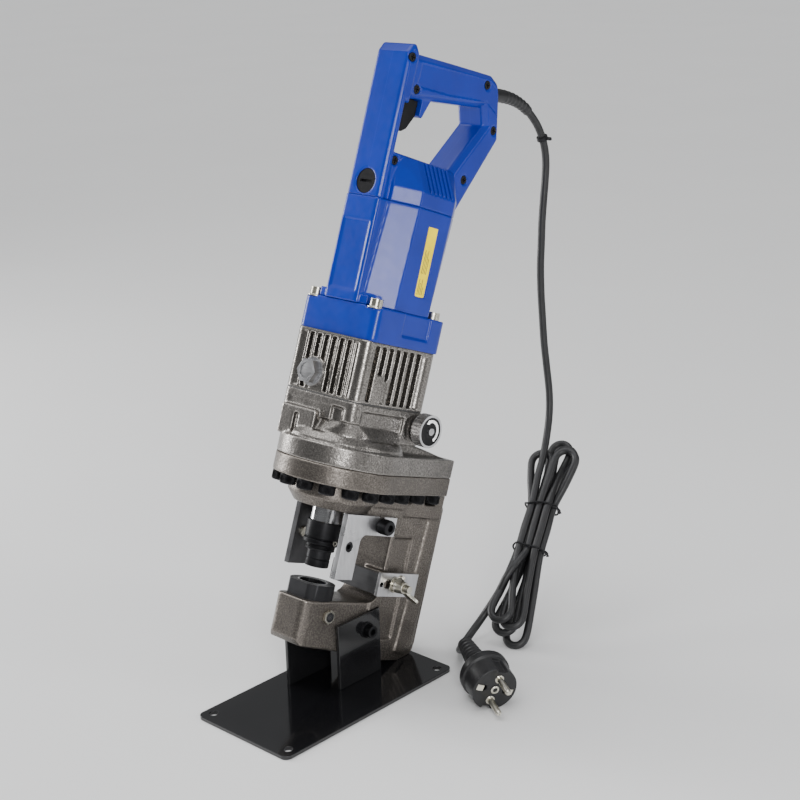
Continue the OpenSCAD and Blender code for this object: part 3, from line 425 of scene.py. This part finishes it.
def lathe(profile, matrix, steps=64, ripple=None, ring=False):
    """A turned piece from [(radius, height)] in mm about the matrix's Z axis.

    With ring, the profile is a closed loop round an open middle.
    """
    bm = bmesh.new()
    rings = []
    for j, (r, z) in enumerate(profile):
        ring = []
        for i in range(steps):
            a = 2 * math.pi * i / steps
            rr = r + (ripple(i, j) if ripple else 0.0)
            ring.append(bm.verts.new(matrix @ mm(rr * math.cos(a), rr * math.sin(a), z)))
        rings.append(ring)
    pairs = list(zip(rings, rings[1:]))
    if ring:
        pairs.append((rings[-1], rings[0]))
    else:
        bm.faces.new(reversed(rings[0]))
        bm.faces.new(rings[-1])
    for a, b in pairs:
        for i in range(steps):
            k = (i + 1) % steps
            bm.faces.new((a[i], a[k], b[k], b[i]))
    bmesh.ops.recalc_face_normals(bm, faces=bm.faces)
    mesh = bpy.data.meshes.new("lathe")
    bm.to_mesh(mesh)
    bm.free()
    return mesh


def joined(meshes, name):
    bm = bmesh.new()
    for mesh in meshes:
        bm.from_mesh(mesh)
    out = bpy.data.meshes.new(name)
    bm.to_mesh(out)
    bm.free()
    return out


def extrude_outline(points, low, high, matrix):
    """A prism from [(x, y)] in mm between two heights along the matrix's Z axis."""
    bm = bmesh.new()
    bottom = [bm.verts.new(matrix @ mm(x, y, low)) for x, y in points]
    top = [bm.verts.new(matrix @ mm(x, y, high)) for x, y in points]
    bm.faces.new(reversed(bottom))
    bm.faces.new(top)
    for i in range(len(points)):
        k = (i + 1) % len(points)
        bm.faces.new((bottom[i], bottom[k], top[k], top[i]))
    bmesh.ops.recalc_face_normals(bm, faces=bm.faces)
    mesh = bpy.data.meshes.new("prism")
    bm.to_mesh(mesh)
    bm.free()
    return mesh


def catmull(points, step):
    """Points about every step along a smooth curve through the given ones."""
    out = []
    n = len(points)
    for i in range(n - 1):
        p0 = points[max(i - 1, 0)]
        p1, p2 = points[i], points[i + 1]
        p3 = points[min(i + 2, n - 1)]
        t = [0.0]
        for a, b in ((p0, p1), (p1, p2), (p2, p3)):
            t.append(t[-1] + max((b - a).length, 1e-9) ** 0.5)
        if i == 0:
            t = [v - (t[1] - t[0]) for v in t]
            t[0] = -t[2]
            p0 = p1 * 2 - p2
        if i == n - 2:
            p3 = p2 * 2 - p1
            t[3] = t[2] + (t[2] - t[1])
        count = max(2, round((p2 - p1).length / step))
        for k in range(count):
            u = t[1] + (t[2] - t[1]) * k / count
            a1 = p0 * ((t[1] - u) / (t[1] - t[0])) + p1 * ((u - t[0]) / (t[1] - t[0]))
            a2 = p1 * ((t[2] - u) / (t[2] - t[1])) + p2 * ((u - t[1]) / (t[2] - t[1]))
            a3 = p2 * ((t[3] - u) / (t[3] - t[2])) + p3 * ((u - t[2]) / (t[3] - t[2]))
            b1 = a1 * ((t[2] - u) / (t[2] - t[0])) + a2 * ((u - t[0]) / (t[2] - t[0]))
            b2 = a2 * ((t[3] - u) / (t[3] - t[1])) + a3 * ((u - t[1]) / (t[3] - t[1]))
            near, far = (t[2] - u) / (t[2] - t[1]), (u - t[1]) / (t[2] - t[1])
            out.append(b1 * near + b2 * far)
    out.append(points[-1])
    return out


def curve_piece(name, points, radius, body, slot, cyclic=False, sides=3, replaces=()):
    """A round tube along points. Its radius, in mm, is one number or one for each point."""
    radii = radius if isinstance(radius, list) else [radius] * len(points)
    data = bpy.data.curves.new(name, "CURVE")
    data.dimensions = "3D"
    data.bevel_depth = 1.0
    data.bevel_resolution = sides
    data.use_fill_caps = True
    spline = data.splines.new("POLY")
    spline.points.add(len(points) - 1)
    for point, co, r in zip(spline.points, points, radii):
        point.co = (*co, 1)
        point.radius = r * MM
    spline.use_cyclic_u = cyclic
    spline.use_smooth = True
    obj = bpy.data.objects.new(name, data)
    bpy.context.scene.collection.objects.link(obj)
    data.materials.append(MATS[slot])
    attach(obj, body)
    if replaces:
        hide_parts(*replaces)
    return obj


# ------------------------------------------------------------------ cord and plug

# Sleeve, free stretch and tail follow part.scad's routes up to the hank, in mm in the shared
# frame. The folded runs, in the hank's own, take the place of part.scad's one closed solid.
CORD_D = 6.5
CORD_EXIT = (-12, 216, 444)
sleeve_route = [
    CORD_EXIT, (-12, 224, 443.7), (-12, 232, 442.5), (-12, 240, 440.5),
    (-12, 248, 438), (-12, 256, 434.5), (-12, 263, 430.5), (-12, 269, 426),
]
free_route = [
    (-12, 277, 418.5), (-12, 284, 410), (-12, 289, 401), (-12, 292.5, 391),
    (-12, 294, 380), (-12, 293, 364), (-12, 291, 348), (-12, 289, 330),
    (-12, 288, 310), (-12, 287, 290), (-11, 286.5, 268), (-9, 286, 246),
    (-7, 286, 222), (-4, 286, 200), (0, 284.5, 178), (4, 279, 158),
]
tail_route = [
    (32, 152, 20), (31, 138, 10), (34, 124, 6), (42, 111, 9), (52, 101, 18), (62, 95, 27),
]


def fold(x0, x1, y, z, side):
    """Half turn of the cord at an end of the hank, from x0 to x1 at y; side is +1 at the top."""
    r = abs(x1 - x0) / 2
    middle = (x0 + x1) / 2
    out = []
    for k in range(7):
        a = math.pi * k / 6
        x = middle + (x0 - middle) * math.cos(a)
        out.append((x, y, z + side * r * 1.08 * math.sin(a)))
    return out


def waist(x, y, down):
    """A run's points where the two ties draw the hank together."""
    levels = (118, 95, 72)
    return [(x, y, z) for z in (levels if down else reversed(levels))]


hank_route = (
    [(-9, -8.5, 163), (-8.5, -8, 142)]
    + waist(-7, -6.8, True)
    + [(-2, -8.5, 35)]
    + fold(2.5, -14.5, -9.5, 14, -1)
    + [(-12.5, -5, 36)]
    + waist(-10.2, 0, False)
    + [(-16, -2, 140)]
    + fold(-19.5, -2.5, -3.2, 158, 1)
    + [(-3, -2, 138)]
    + waist(-3.4, 0, True)
    + [(-4.8, -2, 35)]
    + fold(-5.5, 11.5, -3.2, 12, -1)
    + [(9.5, -5, 36)]
    + waist(7, -6.8, False)
    + [(7, 0, 146)]
    + fold(7.5, -9.5, 9.6, 176, 1)
    + [(-6, 8.5, 146)]
    + waist(-3.4, 6.8, True)
    + [(-8, 5, 35)]
    + fold(-12.5, 4.5, 3.2, 8, -1)
    + [(4, 1.5, 35)]
    + waist(3.4, 0, False)
    + [(1, 1.5, 146)]
    + fold(-1.5, 15.5, 3.2, 168, 1)
    + [(9, 5, 146)]
    + waist(3.4, 6.8, True)
    + [(0, 8.5, 35)]
    + fold(-2.5, 14.5, 9.6, 1, -1)
    + [(13, 5, 35)]
    + waist(10.2, 0, False)
    + [(17, -5, 140)]
    + fold(21.5, 2.5, -9.5, 159, 1)
    + [(1.5, -8.5, 140)]
    + waist(0, -6.8, True)
    + [(-3.5, -12, 57), (-9, -11, 44), (-14, -5.5, 31)]
)
cord_points = [mm(*p) for p in sleeve_route + free_route]
cord_points += [mm(*p, HANK) for p in hank_route]
cord_points += [mm(*p) for p in tail_route]
cord_line = catmull(cord_points, 0.003)
cord = curve_piece(
    "mains_cord", cord_line, CORD_D / 2, "frame", "rubber_black", sides=4,
    replaces=("power_cord", "cord_hank"),
)

# strain relief: a ribbed tapered sleeve along the first stretch
relief_line = catmull([mm(*p) for p in sleeve_route], 0.001)
relief_radii = []
for i in range(len(relief_line)):
    along = i / (len(relief_line) - 1)
    rib = 0.28 * math.sin(i * 2 * math.pi / 5) if 0.35 < along < 0.93 else 0.0
    relief_radii.append(6.1 - 1.9 * along + rib)
relief = curve_piece(
    "relief_sleeve", relief_line, relief_radii, "frame", "rubber_black", sides=6,
    replaces=("strain_relief",),
)


def wire_tie(name, z, rx, ry):
    """Wire round the hank at height z, with its two ends twisted together."""
    loop = []
    for k in range(44):
        a = 2 * math.pi * k / 44
        flat = abs(math.cos(a)) ** 0.75 * math.copysign(1, math.cos(a))
        tall = abs(math.sin(a)) ** 0.8 * math.copysign(1, math.sin(a))
        wave = 1.1 * math.sin(a * 2 + z) + 0.5 * math.sin(a * 5 + z)
        loop.append(mm(rx * flat, ry * tall, z + wave, HANK))
    ring = curve_piece(name, loop, 0.85, "frame", "black_plastic", cyclic=True, sides=2)
    ends = []
    for s in (0, math.pi):
        strand = []
        for k in range(26):
            u = k / 25
            a = s + u * 9
            strand.append(
                mm(
                    (rx - 1.5 + u * 8) + 0.9 * math.cos(a),
                    -6.5 - u * 4 + 0.9 * math.sin(a),
                    z - 2 - u * 6 + 2.2 * math.sin(u * 3),
                    HANK,
                )
            )
        end_name = f"{name}_end{len(ends)}"
        ends.append(curve_piece(end_name, strand, 0.7, "frame", "black_plastic", sides=2))
    return [ring] + ends


ties = wire_tie("hank_tie_upper", 116, 14.6, 11.2)
ties += wire_tie("hank_tie_lower", 75, 14.4, 11.0)
tie_axis = shift(-12, 289, 401) @ spin(24, "X")
clip = lathe(
    [(3.2, -2), (4.3, -2), (4.8, -1.5), (4.8, 1.5), (4.3, 2), (3.2, 2)], tie_axis, 32,
    ring=True,
)
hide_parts("cord_ties")
cord_clip = add_piece("cord_clip", smooth(clip, 40), "frame", "black_plastic")
clip_tail = extrude_outline(
    [(3.8, -1.2), (9.5, -1.0), (9.5, 1.0), (3.8, 1.2)], -1.3, 1.3, tie_axis
)
clip_tail = modified(clip_tail, [("BEVEL", {"width": 0.4 * MM, "segments": 2})])
clip_tail = smooth(clip_tail, 40)
cord_clip_tail = add_piece("cord_clip_tail", clip_tail, "frame", "black_plastic")


# plug: moulded body with a ribbed neck, pins and earth contacts
plug_mesh = soft("plug_body", 0.55, 5, PLUG)
plug = add_piece("plug_moulding", plug_mesh, "frame", "rubber_black", ("plug_body",))
neck_profile = [(3.4, -38.5)]
for k in range(6):
    z = -38 + k * 4.4
    r = 5.4 + k * 0.42
    neck_profile += [(r, z), (r + 0.9, z + 0.5), (r + 0.9, z + 2.3)]
    neck_profile += [(r, z + 2.8), (r - 0.2, z + 3.8)]
neck_profile += [(8.9, -10.5), (9.6, -8), (9.7, -5), (8.0, -4.5)]
neck_mesh = smooth(lathe(neck_profile, PLUG, 48), 50)
neck = add_piece("plug_neck", neck_mesh, "frame", "rubber_black")


def rim_ripple(i, j):
    """Grip ribs round the plug's rim."""
    return 0.45 * (1 if (i // 3) % 2 else 0) if 1 < j < 5 else 0.0


rim = lathe(
    [
        (17.6, -1.2), (18.6, -0.2), (19.3, 1.6), (19.5, 2.6), (19.5, 6.6), (19.2, 7.8),
        (18.0, 8.3),
    ],
    PLUG, 144, rim_ripple,
)
plug_rim = add_piece("plug_rim", smooth(rim, 40), "frame", "rubber_black")
PIN_SPACING = 19
PIN = [(2.35, 18), (2.4, 26), (2.4, 42.6), (2.1, 44), (1.4, 44.9), (0.4, 45.1)]
PIN_COLLAR = [(3.6, 25.6), (3.6, 26.3), (3.2, 26.7), (2.5, 26.7)]
pins = []
for s in (-1, 1):
    at = PLUG @ Matrix.Translation((0, s * PIN_SPACING / 2 * MM, 0))
    pins.append(lathe(PIN, at, 32))
    pins.append(lathe(PIN_COLLAR, at, 32))
plug_pins = add_piece(
    "plug_contacts", smooth(joined(pins, "pins"), 40), "frame", "plated_zinc", ("plug_pins",)
)
clips = []
for s in (-1, 1):
    strip = [
        (17.9 * s, 12), (17.9 * s, 25.2), (14.2 * s, 26.6), (10.5 * s, 26.6),
        (10.5 * s, 26.1), (14.0 * s, 26.1), (17.2 * s, 24.8), (17.2 * s, 12),
    ]
    across = PLUG @ spin(90, "X")
    clips.append(extrude_outline(strip, -2.4, 2.4, across))
plate = PLUG @ Matrix.Translation((0, 0, 26.1 * MM))
earth = lathe([(2.0, 0), (3.0, 0), (3.4, 0.4), (3.0, 0.8), (2.0, 0.8)], plate, 32)
clips.append(earth)
earth_mesh = smooth(joined(clips, "clips"), 40)
plug_earth = add_piece("plug_earth", earth_mesh, "frame", "plated_zinc")


# ------------------------------------------------------------------ castings and shells


# The cylinder bore in part.scad, and how far the remeshed skin is moved off the piston.
BORE_RADIUS = 30.05
BORE_FLOOR = 64
BORE_TOP = 140
BORE_CLEARANCE = 0.35
BORE_SKIN = 1.6


def cast_wobble(amount, scale):
    """A slow unevenness of a casting's skin, in mm."""

    def shape(p):
        q = p * scale
        n = noise.noise(q) + 0.5 * noise.noise(q * 2.7 + Vector((7, 3, 1)))
        return p + Vector((n, noise.noise(q + Vector((31, 0, 0))), n)) * amount

    return shape


def replace(node, mesh):
    """The mesh as the piece that stands for a CAD node."""
    return add_piece("v_" + node, mesh, BODY_OF[node], SLOT_OF[node], (node,))


frame_skin = cast_wobble(0.10, 0.05)


def bored(p):
    """The frame's cast skin, with the cylinder bore kept clear of the piston."""
    radius = math.hypot(p.x, p.y)
    if BORE_FLOOR + 1.5 < p.z < BORE_TOP and abs(radius - BORE_RADIUS) < BORE_SKIN:
        grown = (BORE_RADIUS + BORE_CLEARANCE) / radius
        return Vector((p.x * grown, p.y * grown, p.z))
    return frame_skin(p)


replace("c_frame", soft("c_frame", 0.9, 5, LEAN, bored))
replace("pump_body", soft("pump_body", 0.85, 5, LEAN, cast_wobble(0.12, 0.06)))
replace("oil_tank", soft("oil_tank", 0.7, 4, LEAN, cast_wobble(0.08, 0.07)))
replace("motor_flange", soft("motor_flange", 0.75, 6))
replace("motor_housing", soft("motor_housing", 0.75, 7))


def in_polygon(px, py, poly):
    """Whether a point lies inside a closed outline, by counting crossings."""
    inside = False
    j = len(poly) - 1
    for i in range(len(poly)):
        xi, yi = poly[i]
        xj, yj = poly[j]
        if (yi > py) != (yj > py) and px < (xj - xi) * (py - yi) / (yj - yi) + xi:
            inside = not inside
        j = i
    return inside


PANEL = [
    (-21, 386), (-20, 404), (20, 408), (62, 412), (72, 408), (80, 388), (62, 395), (20, 389),
]
PANEL_DEPTH = 0.55
BAR_FACE = 16.0


def handle_panel(p):
    """A shallow panel pressed into both sides of the top bar."""
    x, y, z = p
    if abs(x) > BAR_FACE - 0.6 and in_polygon(y, z, PANEL):
        return (math.copysign(abs(x) - PANEL_DEPTH, x), y, z)
    return (x, y, z)


def soft_pair(left, right, voxel, rounds, shape):
    """Two moulded halves rounded as one, then parted again at the middle plane."""
    bm = bmesh.new()
    for node in (left, right):
        bm.from_mesh(frame["nodes"][node].data)
    bm.transform(LEAN.inverted())
    seam = [f for f in bm.faces if all(abs(v.co.x) < 1e-5 for v in f.verts)]
    bmesh.ops.delete(bm, geom=seam, context="FACES")
    bmesh.ops.remove_doubles(bm, verts=bm.verts, dist=1e-5)
    whole = bpy.data.meshes.new("handle")
    bm.to_mesh(whole)
    bm.free()
    whole = rounded(whole, voxel, rounds, shape)
    out = []
    for node, side in ((left, -1), (right, 1)):
        bm = bmesh.new()
        bm.from_mesh(whole)
        bmesh.ops.bisect_plane(
            bm, geom=bm.verts[:] + bm.edges[:] + bm.faces[:], plane_co=(0, 0, 0),
            plane_no=(side, 0, 0), clear_inner=True,
        )
        for face in bm.faces:
            face.smooth = True
        rim = [e for e in bm.edges if e.is_boundary]
        for edge in rim:
            edge.smooth = False
        bmesh.ops.triangle_fill(bm, edges=rim, use_beauty=True)
        bmesh.ops.recalc_face_normals(bm, faces=bm.faces)
        bm.transform(LEAN)
        mesh = bpy.data.meshes.new("v_" + node)
        bm.to_mesh(mesh)
        bm.free()
        out.append(mesh)
    return out


for node, mesh in zip(
    ("left_handle", "right_handle"),
    soft_pair("left_handle", "right_handle", 0.7, 9, handle_panel),
):
    replace(node, mesh)
replace("trigger", soft("trigger", 0.4, 4))

# ------------------------------------------------------------------ machined parts

for node, width in {
    "base_plate": 0.5, "left_cheek": 0.5, "right_cheek": 0.5, "cheek_screws": 0.3,
    "die": 0.6, "die_set_screw": 0.25, "piston_rod": 0.4,
    "punch_grub_screw": 0.1, "left_stripper_plate": 0.5,
    "right_stripper_plate": 0.5, "left_stripper_screw": 0.2, "right_stripper_screw": 0.2,
    "gauge_bar": 0.4, "gauge_bracket": 0.35, "gauge_stud": 0.2, "oil_plug": 0.5,
    "motor_screws": 0.35, "brush_caps": 0.3, "handle_screws": 0.15, "release_spindle": 0.3,
    "rating_label": 0.12, "rod_bush": 0.3,
}.items():
    replace(node, hard(node, width))
replace("release_knob", hard("release_knob", 0.12, 1))


def thumb_knurl(i, j):
    """Diamond knurl of the thumb screws, as a ripple in their radius."""
    return 0.45 * ((i + j) % 2) if 2 < j < 12 else 0.0


THUMB_Y, THUMB_Z = 33, 52.5
LEAN_X = 12  # the ram's plane lies this far to the left of the shared frame's origin
for node, sx in (("left_thumb_screw", -1), ("right_thumb_screw", 1)):
    tip_x = (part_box(node)[1][0] if sx > 0 else -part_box(node)[0][0]) / MM + sx * LEAN_X
    at = LEAN @ shift(0, THUMB_Y, THUMB_Z) @ Matrix.Rotation(sx * math.pi / 2, 4, "Y")
    profile = [(0.4, 14), (2.45, 14.4), (2.45, tip_x - 10), (5.3, tip_x - 9.9)]
    profile += [(5.75, tip_x - 9.4 + k * 1.1) for k in range(9)]
    profile += [(5.4, tip_x - 0.2), (4.8, tip_x), (2.9, tip_x)]
    profile += [(2.8, tip_x - 2.6), (0.3, tip_x - 2.8)]
    replace(node, smooth(lathe(profile, at, 60, thumb_knurl), 32))

# coupling nut, punch and wing nut, turned and formed to the CAD pieces' own sizes
nut_profile = [
    (11.0, 25.0), (11.5, 25.3), (11.6, 26.4), (11.1, 26.7), (11.1, 27.1), (11.6, 27.4),
    (11.6, 29.4), (13.6, 29.9), (14.3, 30.4), (14.4, 31.0), (14.4, 33.2), (14.1, 33.7),
    (13.4, 34.0), (13.4, 34.5), (13.9, 34.9), (14.0, 35.3), (14.0, 47.0), (13.6, 47.7),
    (12.9, 48.0), (12.55, 48.0), (12.55, 42.0), (9.9, 42.0), (9.9, 25.0),
]
nut = lathe(nut_profile, LEAN, 96, ring=True)
replace("punch_nut", beveled(nut, "v_punch_nut", 0.1, 1, 30))
punch_profile = [
    (2.0, 12.9), (6.5, 12.0), (9.0, 12.0), (9.45, 12.3), (9.5, 12.8), (9.5, 17.6),
    (9.2, 17.9), (9.2, 18.5), (9.5, 18.8), (9.5, 30.2), (8.8, 30.4), (8.8, 40.5),
]
replace("punch", beveled(lathe(punch_profile, LEAN, 96), "v_punch", 0.08, 1, 30))

WING = LEAN @ shift(32.8, 63, 6) @ spin(90, "Y")
WING_TURN = -130
EAR = [
    (3.4, 0.6), (6.0, 1.4), (9.5, 3.6), (13.0, 6.6), (15.6, 9.4), (16.6, 11.6), (16.4, 13.4),
    (15.2, 14.4), (13.4, 14.3), (11.6, 13.0), (9.0, 10.2), (6.6, 8.4), (3.4, 7.6),
]
HUB = [(5.4, 0.0), (5.6, 0.4), (5.5, 2.0), (4.7, 7.6), (4.3, 8.0), (3.05, 8.0)]
ears = [lathe(HUB, WING, 48)]
for turn_deg in (WING_TURN, WING_TURN + 180):
    ears.append(extrude_outline(EAR, -1.3, 1.3, WING @ spin(turn_deg, "Z") @ spin(90, "X")))
replace("wing_nut", beveled(joined(ears, "ears"), "v_wing_nut", 0.7, 3, 50))

# flange bolts: knurled socket heads

# The flange is a round nose with straight sides running back to the spine's corners.
FLANGE_RADIUS = 49
FLANGE_CORNER = (25, 110)
BOLT_RADIUS = 42.5
BOLT_SEAT_Z = 80


def bolt_points():
    """Bolt centres: an arc round the nose, then a row along each tangent."""
    r = BOLT_RADIUS
    cx, cy = FLANGE_CORNER
    tangent = math.atan2(cy, cx) - math.acos(FLANGE_RADIUS / math.hypot(cy, cx))
    points = []
    for i in range(8):
        a = math.radians(-90 + (i - 3.5) * 24.5)
        points.append((r * math.cos(a), r * math.sin(a)))
    touch_x, touch_y = FLANGE_RADIUS * math.cos(tangent), FLANGE_RADIUS * math.sin(tangent)
    d = Vector((cx - touch_x, cy - touch_y)).normalized()
    for sx in (-1, 1):
        for along in (10, 34, 61, 88):
            x = r * math.cos(tangent) + d.x * along
            y = r * math.sin(tangent) + d.y * along
            points.append((sx * x, y))
    return points


def knurl(i, j):
    """Straight knurl of a socket head, as a ripple in its radius."""
    return 0.34 * (i % 2) if 1 < j < 6 else 0.0


HEAD = [
    (6.4, 0.0), (6.2, -0.3), (6.05, -0.8), (6.05, -2.5), (6.05, -4.6), (6.05, -6.2),
    (6.2, -6.6), (5.8, -7.3), (5.2, -7.5), (3.9, -7.5), (3.55, -7.1), (3.5, -3.6),
    (0.5, -3.2),
]
heads = []
for x, y in bolt_points():
    any_turn = Matrix.Rotation(x * 0.3 + y * 0.17, 4, "Z")
    at = LEAN @ shift(x, y, BOLT_SEAT_Z) @ any_turn
    heads.append(lathe(HEAD, at, 72, knurl))
replace("flange_bolts", smooth(joined(heads, "v_flange_bolts"), 35))

# The return spring, with a mesh of its own.
spring = replace("return_spring", smooth(hard("return_spring", 0.05, 1)))
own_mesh(spring)

# ------------------------------------------------------------------ small details


def rounded_outline(w, d, r, y, steps=8):
    """A rectangle w by d with corners of radius r, centred on y."""
    pts = []
    for cx, cy, a0 in ((1, 1, 0), (-1, 1, 90), (-1, -1, 180), (1, -1, 270)):
        for k in range(steps + 1):
            a = math.radians(a0 + 90 * k / steps)
            px = cx * (w / 2 - r) + r * math.cos(a)
            py = y + cy * (d / 2 - r) + r * math.sin(a)
            pts.append((px, py))
    return pts


# gaskets below and above the tank
for name, w, d, z0, z1 in (
    ("tank_gasket", 76.5, 81.5, 144.6, 145.3),
    ("motor_gasket", 76.3, 81.3, 191.7, 192.2),
):
    gasket = extrude_outline(rounded_outline(w, d, 8, 2.5), z0, z1, LEAN)
    add_piece(name, smooth(gasket, 40), "frame", "rubber_black", material="print_black")

# release knob face: black disc with a plain arc arrow
KNOB = LEAN @ shift(50.4, 40, 133) @ spin(90, "Y")
DISC = [(11.05, -0.1), (11.05, 0.4), (10.6, 0.52), (9.9, 0.3), (6.0, 0.16), (0.6, 0.12)]
disc = lathe(DISC, KNOB, 72)
add_piece("knob_face", smooth(disc, 40), "release", "black_plastic")


def arc_band(inner, outer, start, end, steps=24):
    """Outline of a band between two radii, from one angle to another."""
    turns = [math.radians(start + (end - start) * k / steps) for k in range(steps + 1)]
    out = [(outer * math.cos(a), outer * math.sin(a)) for a in turns]
    return out + [(inner * math.cos(a), inner * math.sin(a)) for a in reversed(turns)]


ARC_START, ARC_END = 38, 205
tip = math.radians(ARC_END)
arrow = [
    (10.1 * math.cos(tip), 10.1 * math.sin(tip)),
    (8.1 * math.cos(tip + 0.4), 8.1 * math.sin(tip + 0.4)),
    (6.1 * math.cos(tip), 6.1 * math.sin(tip)),
]
marks = joined(
    [
        extrude_outline(arc_band(7.0, 9.2, ARC_START, ARC_END), 0.1, 0.42, KNOB),
        extrude_outline(arrow, 0.1, 0.42, KNOB),
    ],
    "knob_arrow",
)
add_piece("knob_arrow", marks, "release", "black_plastic", material="print_white")

# plain bars on the label, in place of print
bars = []
LABEL = LEAN @ spin(90, "Y")
BAR_BACK, BAR_FRONT = 35.8, 35.97
for z0, z1, y0, y1 in (
    (234, 246, 6.0, 6.5), (234, 243, 7.6, 8.1), (250, 268, 6.0, 6.6),
    (250, 266, 7.7, 8.2), (250, 268, 9.4, 9.9), (250, 262, 11.1, 11.6),
    (234, 246, 9.4, 9.9), (234, 240, 11.1, 11.6),
):
    outline = [(-z0, y0), (-z1, y0), (-z1, y1), (-z0, y1)]
    bars.append(extrude_outline(outline, BAR_BACK, BAR_FRONT, LABEL))
bars = joined(bars, "label_bars")
add_piece("label_bars", bars, "frame", "label_yellow", material="print_black")

# black set screw seen through the plated nut in the jaw's side
SETSCREW = LEAN @ shift(19.5, 7, -24) @ spin(90, "Y")
SETSCREW_END = [(3.9, -0.3), (3.9, 0.28), (3.6, 0.45), (2.4, 0.45), (2.1, 0.2), (2.0, -0.3)]
barrel = lathe(SETSCREW_END, SETSCREW, 48, ring=True)
floor_of_socket = lathe([(2.6, -0.3), (2.6, 0.08), (0.4, 0.05)], SETSCREW, 6)
set_screw = smooth(joined([barrel, floor_of_socket], "jaw_set_screw"), 35)
add_piece("jaw_set_screw", set_screw, "frame", "black_oxide")

# pressed rim round the die's bore, in bright steel as a painted highlight on the bore's chamfer
rim_ring = lathe(
    [(10.55, -1.6), (11.6, -0.3), (11.9, 0.05), (11.7, 0.14), (10.9, 0.1), (10.5, -0.25)],
    LEAN, 96, ring=True,
)
add_piece("die_lip", smooth(rim_ring, 60), "frame", "bright_steel")

# ------------------------------------------------------------------ the CAD nodes' materials

for name, obj in frame["nodes"].items():
    slot = SLOT_OF[name]
    if obj.data.materials:
        for i in range(len(obj.data.materials)):
            obj.material_slots[i].material = MATS[slot]
    else:
        obj.data.materials.append(MATS[slot])

# ------------------------------------------------------------------ floor and light

FLOOR_REACH = 30
SKY_LOW, SKY_HIGH = 0.10, 0.95  # dark at the horizon, for the dark streaks in bare metal

floor_bm = bmesh.new()
bmesh.ops.create_grid(floor_bm, x_segments=2, y_segments=2, size=FLOOR_REACH)
floor_mesh = bpy.data.meshes.new("floor")
floor_bm.to_mesh(floor_mesh)
floor_bm.free()
floor = bpy.data.objects.new("floor", floor_mesh)
floor.location = (0, 0, -0.0002)
bpy.context.scene.collection.objects.link(floor)
floor_shade = Shade("floor_pale", (0.86, 0.86, 0.86), 0.0, 0.6)
floor_shade.tint(floor_shade.noise(3, 2.0), [(0.3, 0.99), (0.7, 1.01)])
floor_mesh.materials.append(floor_shade.mat)

world = bpy.data.worlds.new("studio")
world.use_nodes = True
sky = world.node_tree
sky_coords = sky.nodes.new("ShaderNodeTexCoord")
sky_axes = sky.nodes.new("ShaderNodeSeparateXYZ")
sky_ramp = sky.nodes.new("ShaderNodeValToRGB")
for element, (position, value) in zip(
    sky_ramp.color_ramp.elements, ((0.0, SKY_LOW), (1.0, SKY_HIGH))
):
    element.position = position
    element.color = (value * 0.97, value * 0.985, value, 1)
sky.links.new(sky_coords.outputs["Generated"], sky_axes.inputs[0])
sky.links.new(sky_axes.outputs["Z"], sky_ramp.inputs["Fac"])
sky.links.new(sky_ramp.outputs["Color"], sky.nodes["Background"].inputs["Color"])
sky.nodes["Background"].inputs["Strength"].default_value = 0.55
bpy.context.scene.world = world


def aim(obj, place, target):
    obj.location = place
    towards = Vector(target) - Vector(place)
    obj.rotation_euler = towards.to_track_quat("-Z", "Y").to_euler()
    bpy.context.scene.collection.objects.link(obj)


def area(name, place, target, size, power):
    data = bpy.data.lights.new(name, "AREA")
    data.shape = "RECTANGLE"
    data.size, data.size_y = size
    data.energy = power
    aim(bpy.data.objects.new(name, data), place, target)


overhead = bpy.data.lights.new("overhead", "SUN")
overhead.energy = 1.9
overhead.angle = math.radians(60)
aim(bpy.data.objects.new("overhead", overhead), (-0.5, -0.3, 2.0), (0, 0.1, 0))
area("front_box", (1.13, -0.85, 0.74), (0, 0.07, 0.30), (0.40, 0.55), 12)
area("left_strip", (-1.5, -0.42, 0.55), (0, 0.05, 0.25), (0.35, 1.0), 18)
area("right_strip", (1.3, 0.55, 0.7), (0, 0.1, 0.25), (0.22, 1.0), 4)
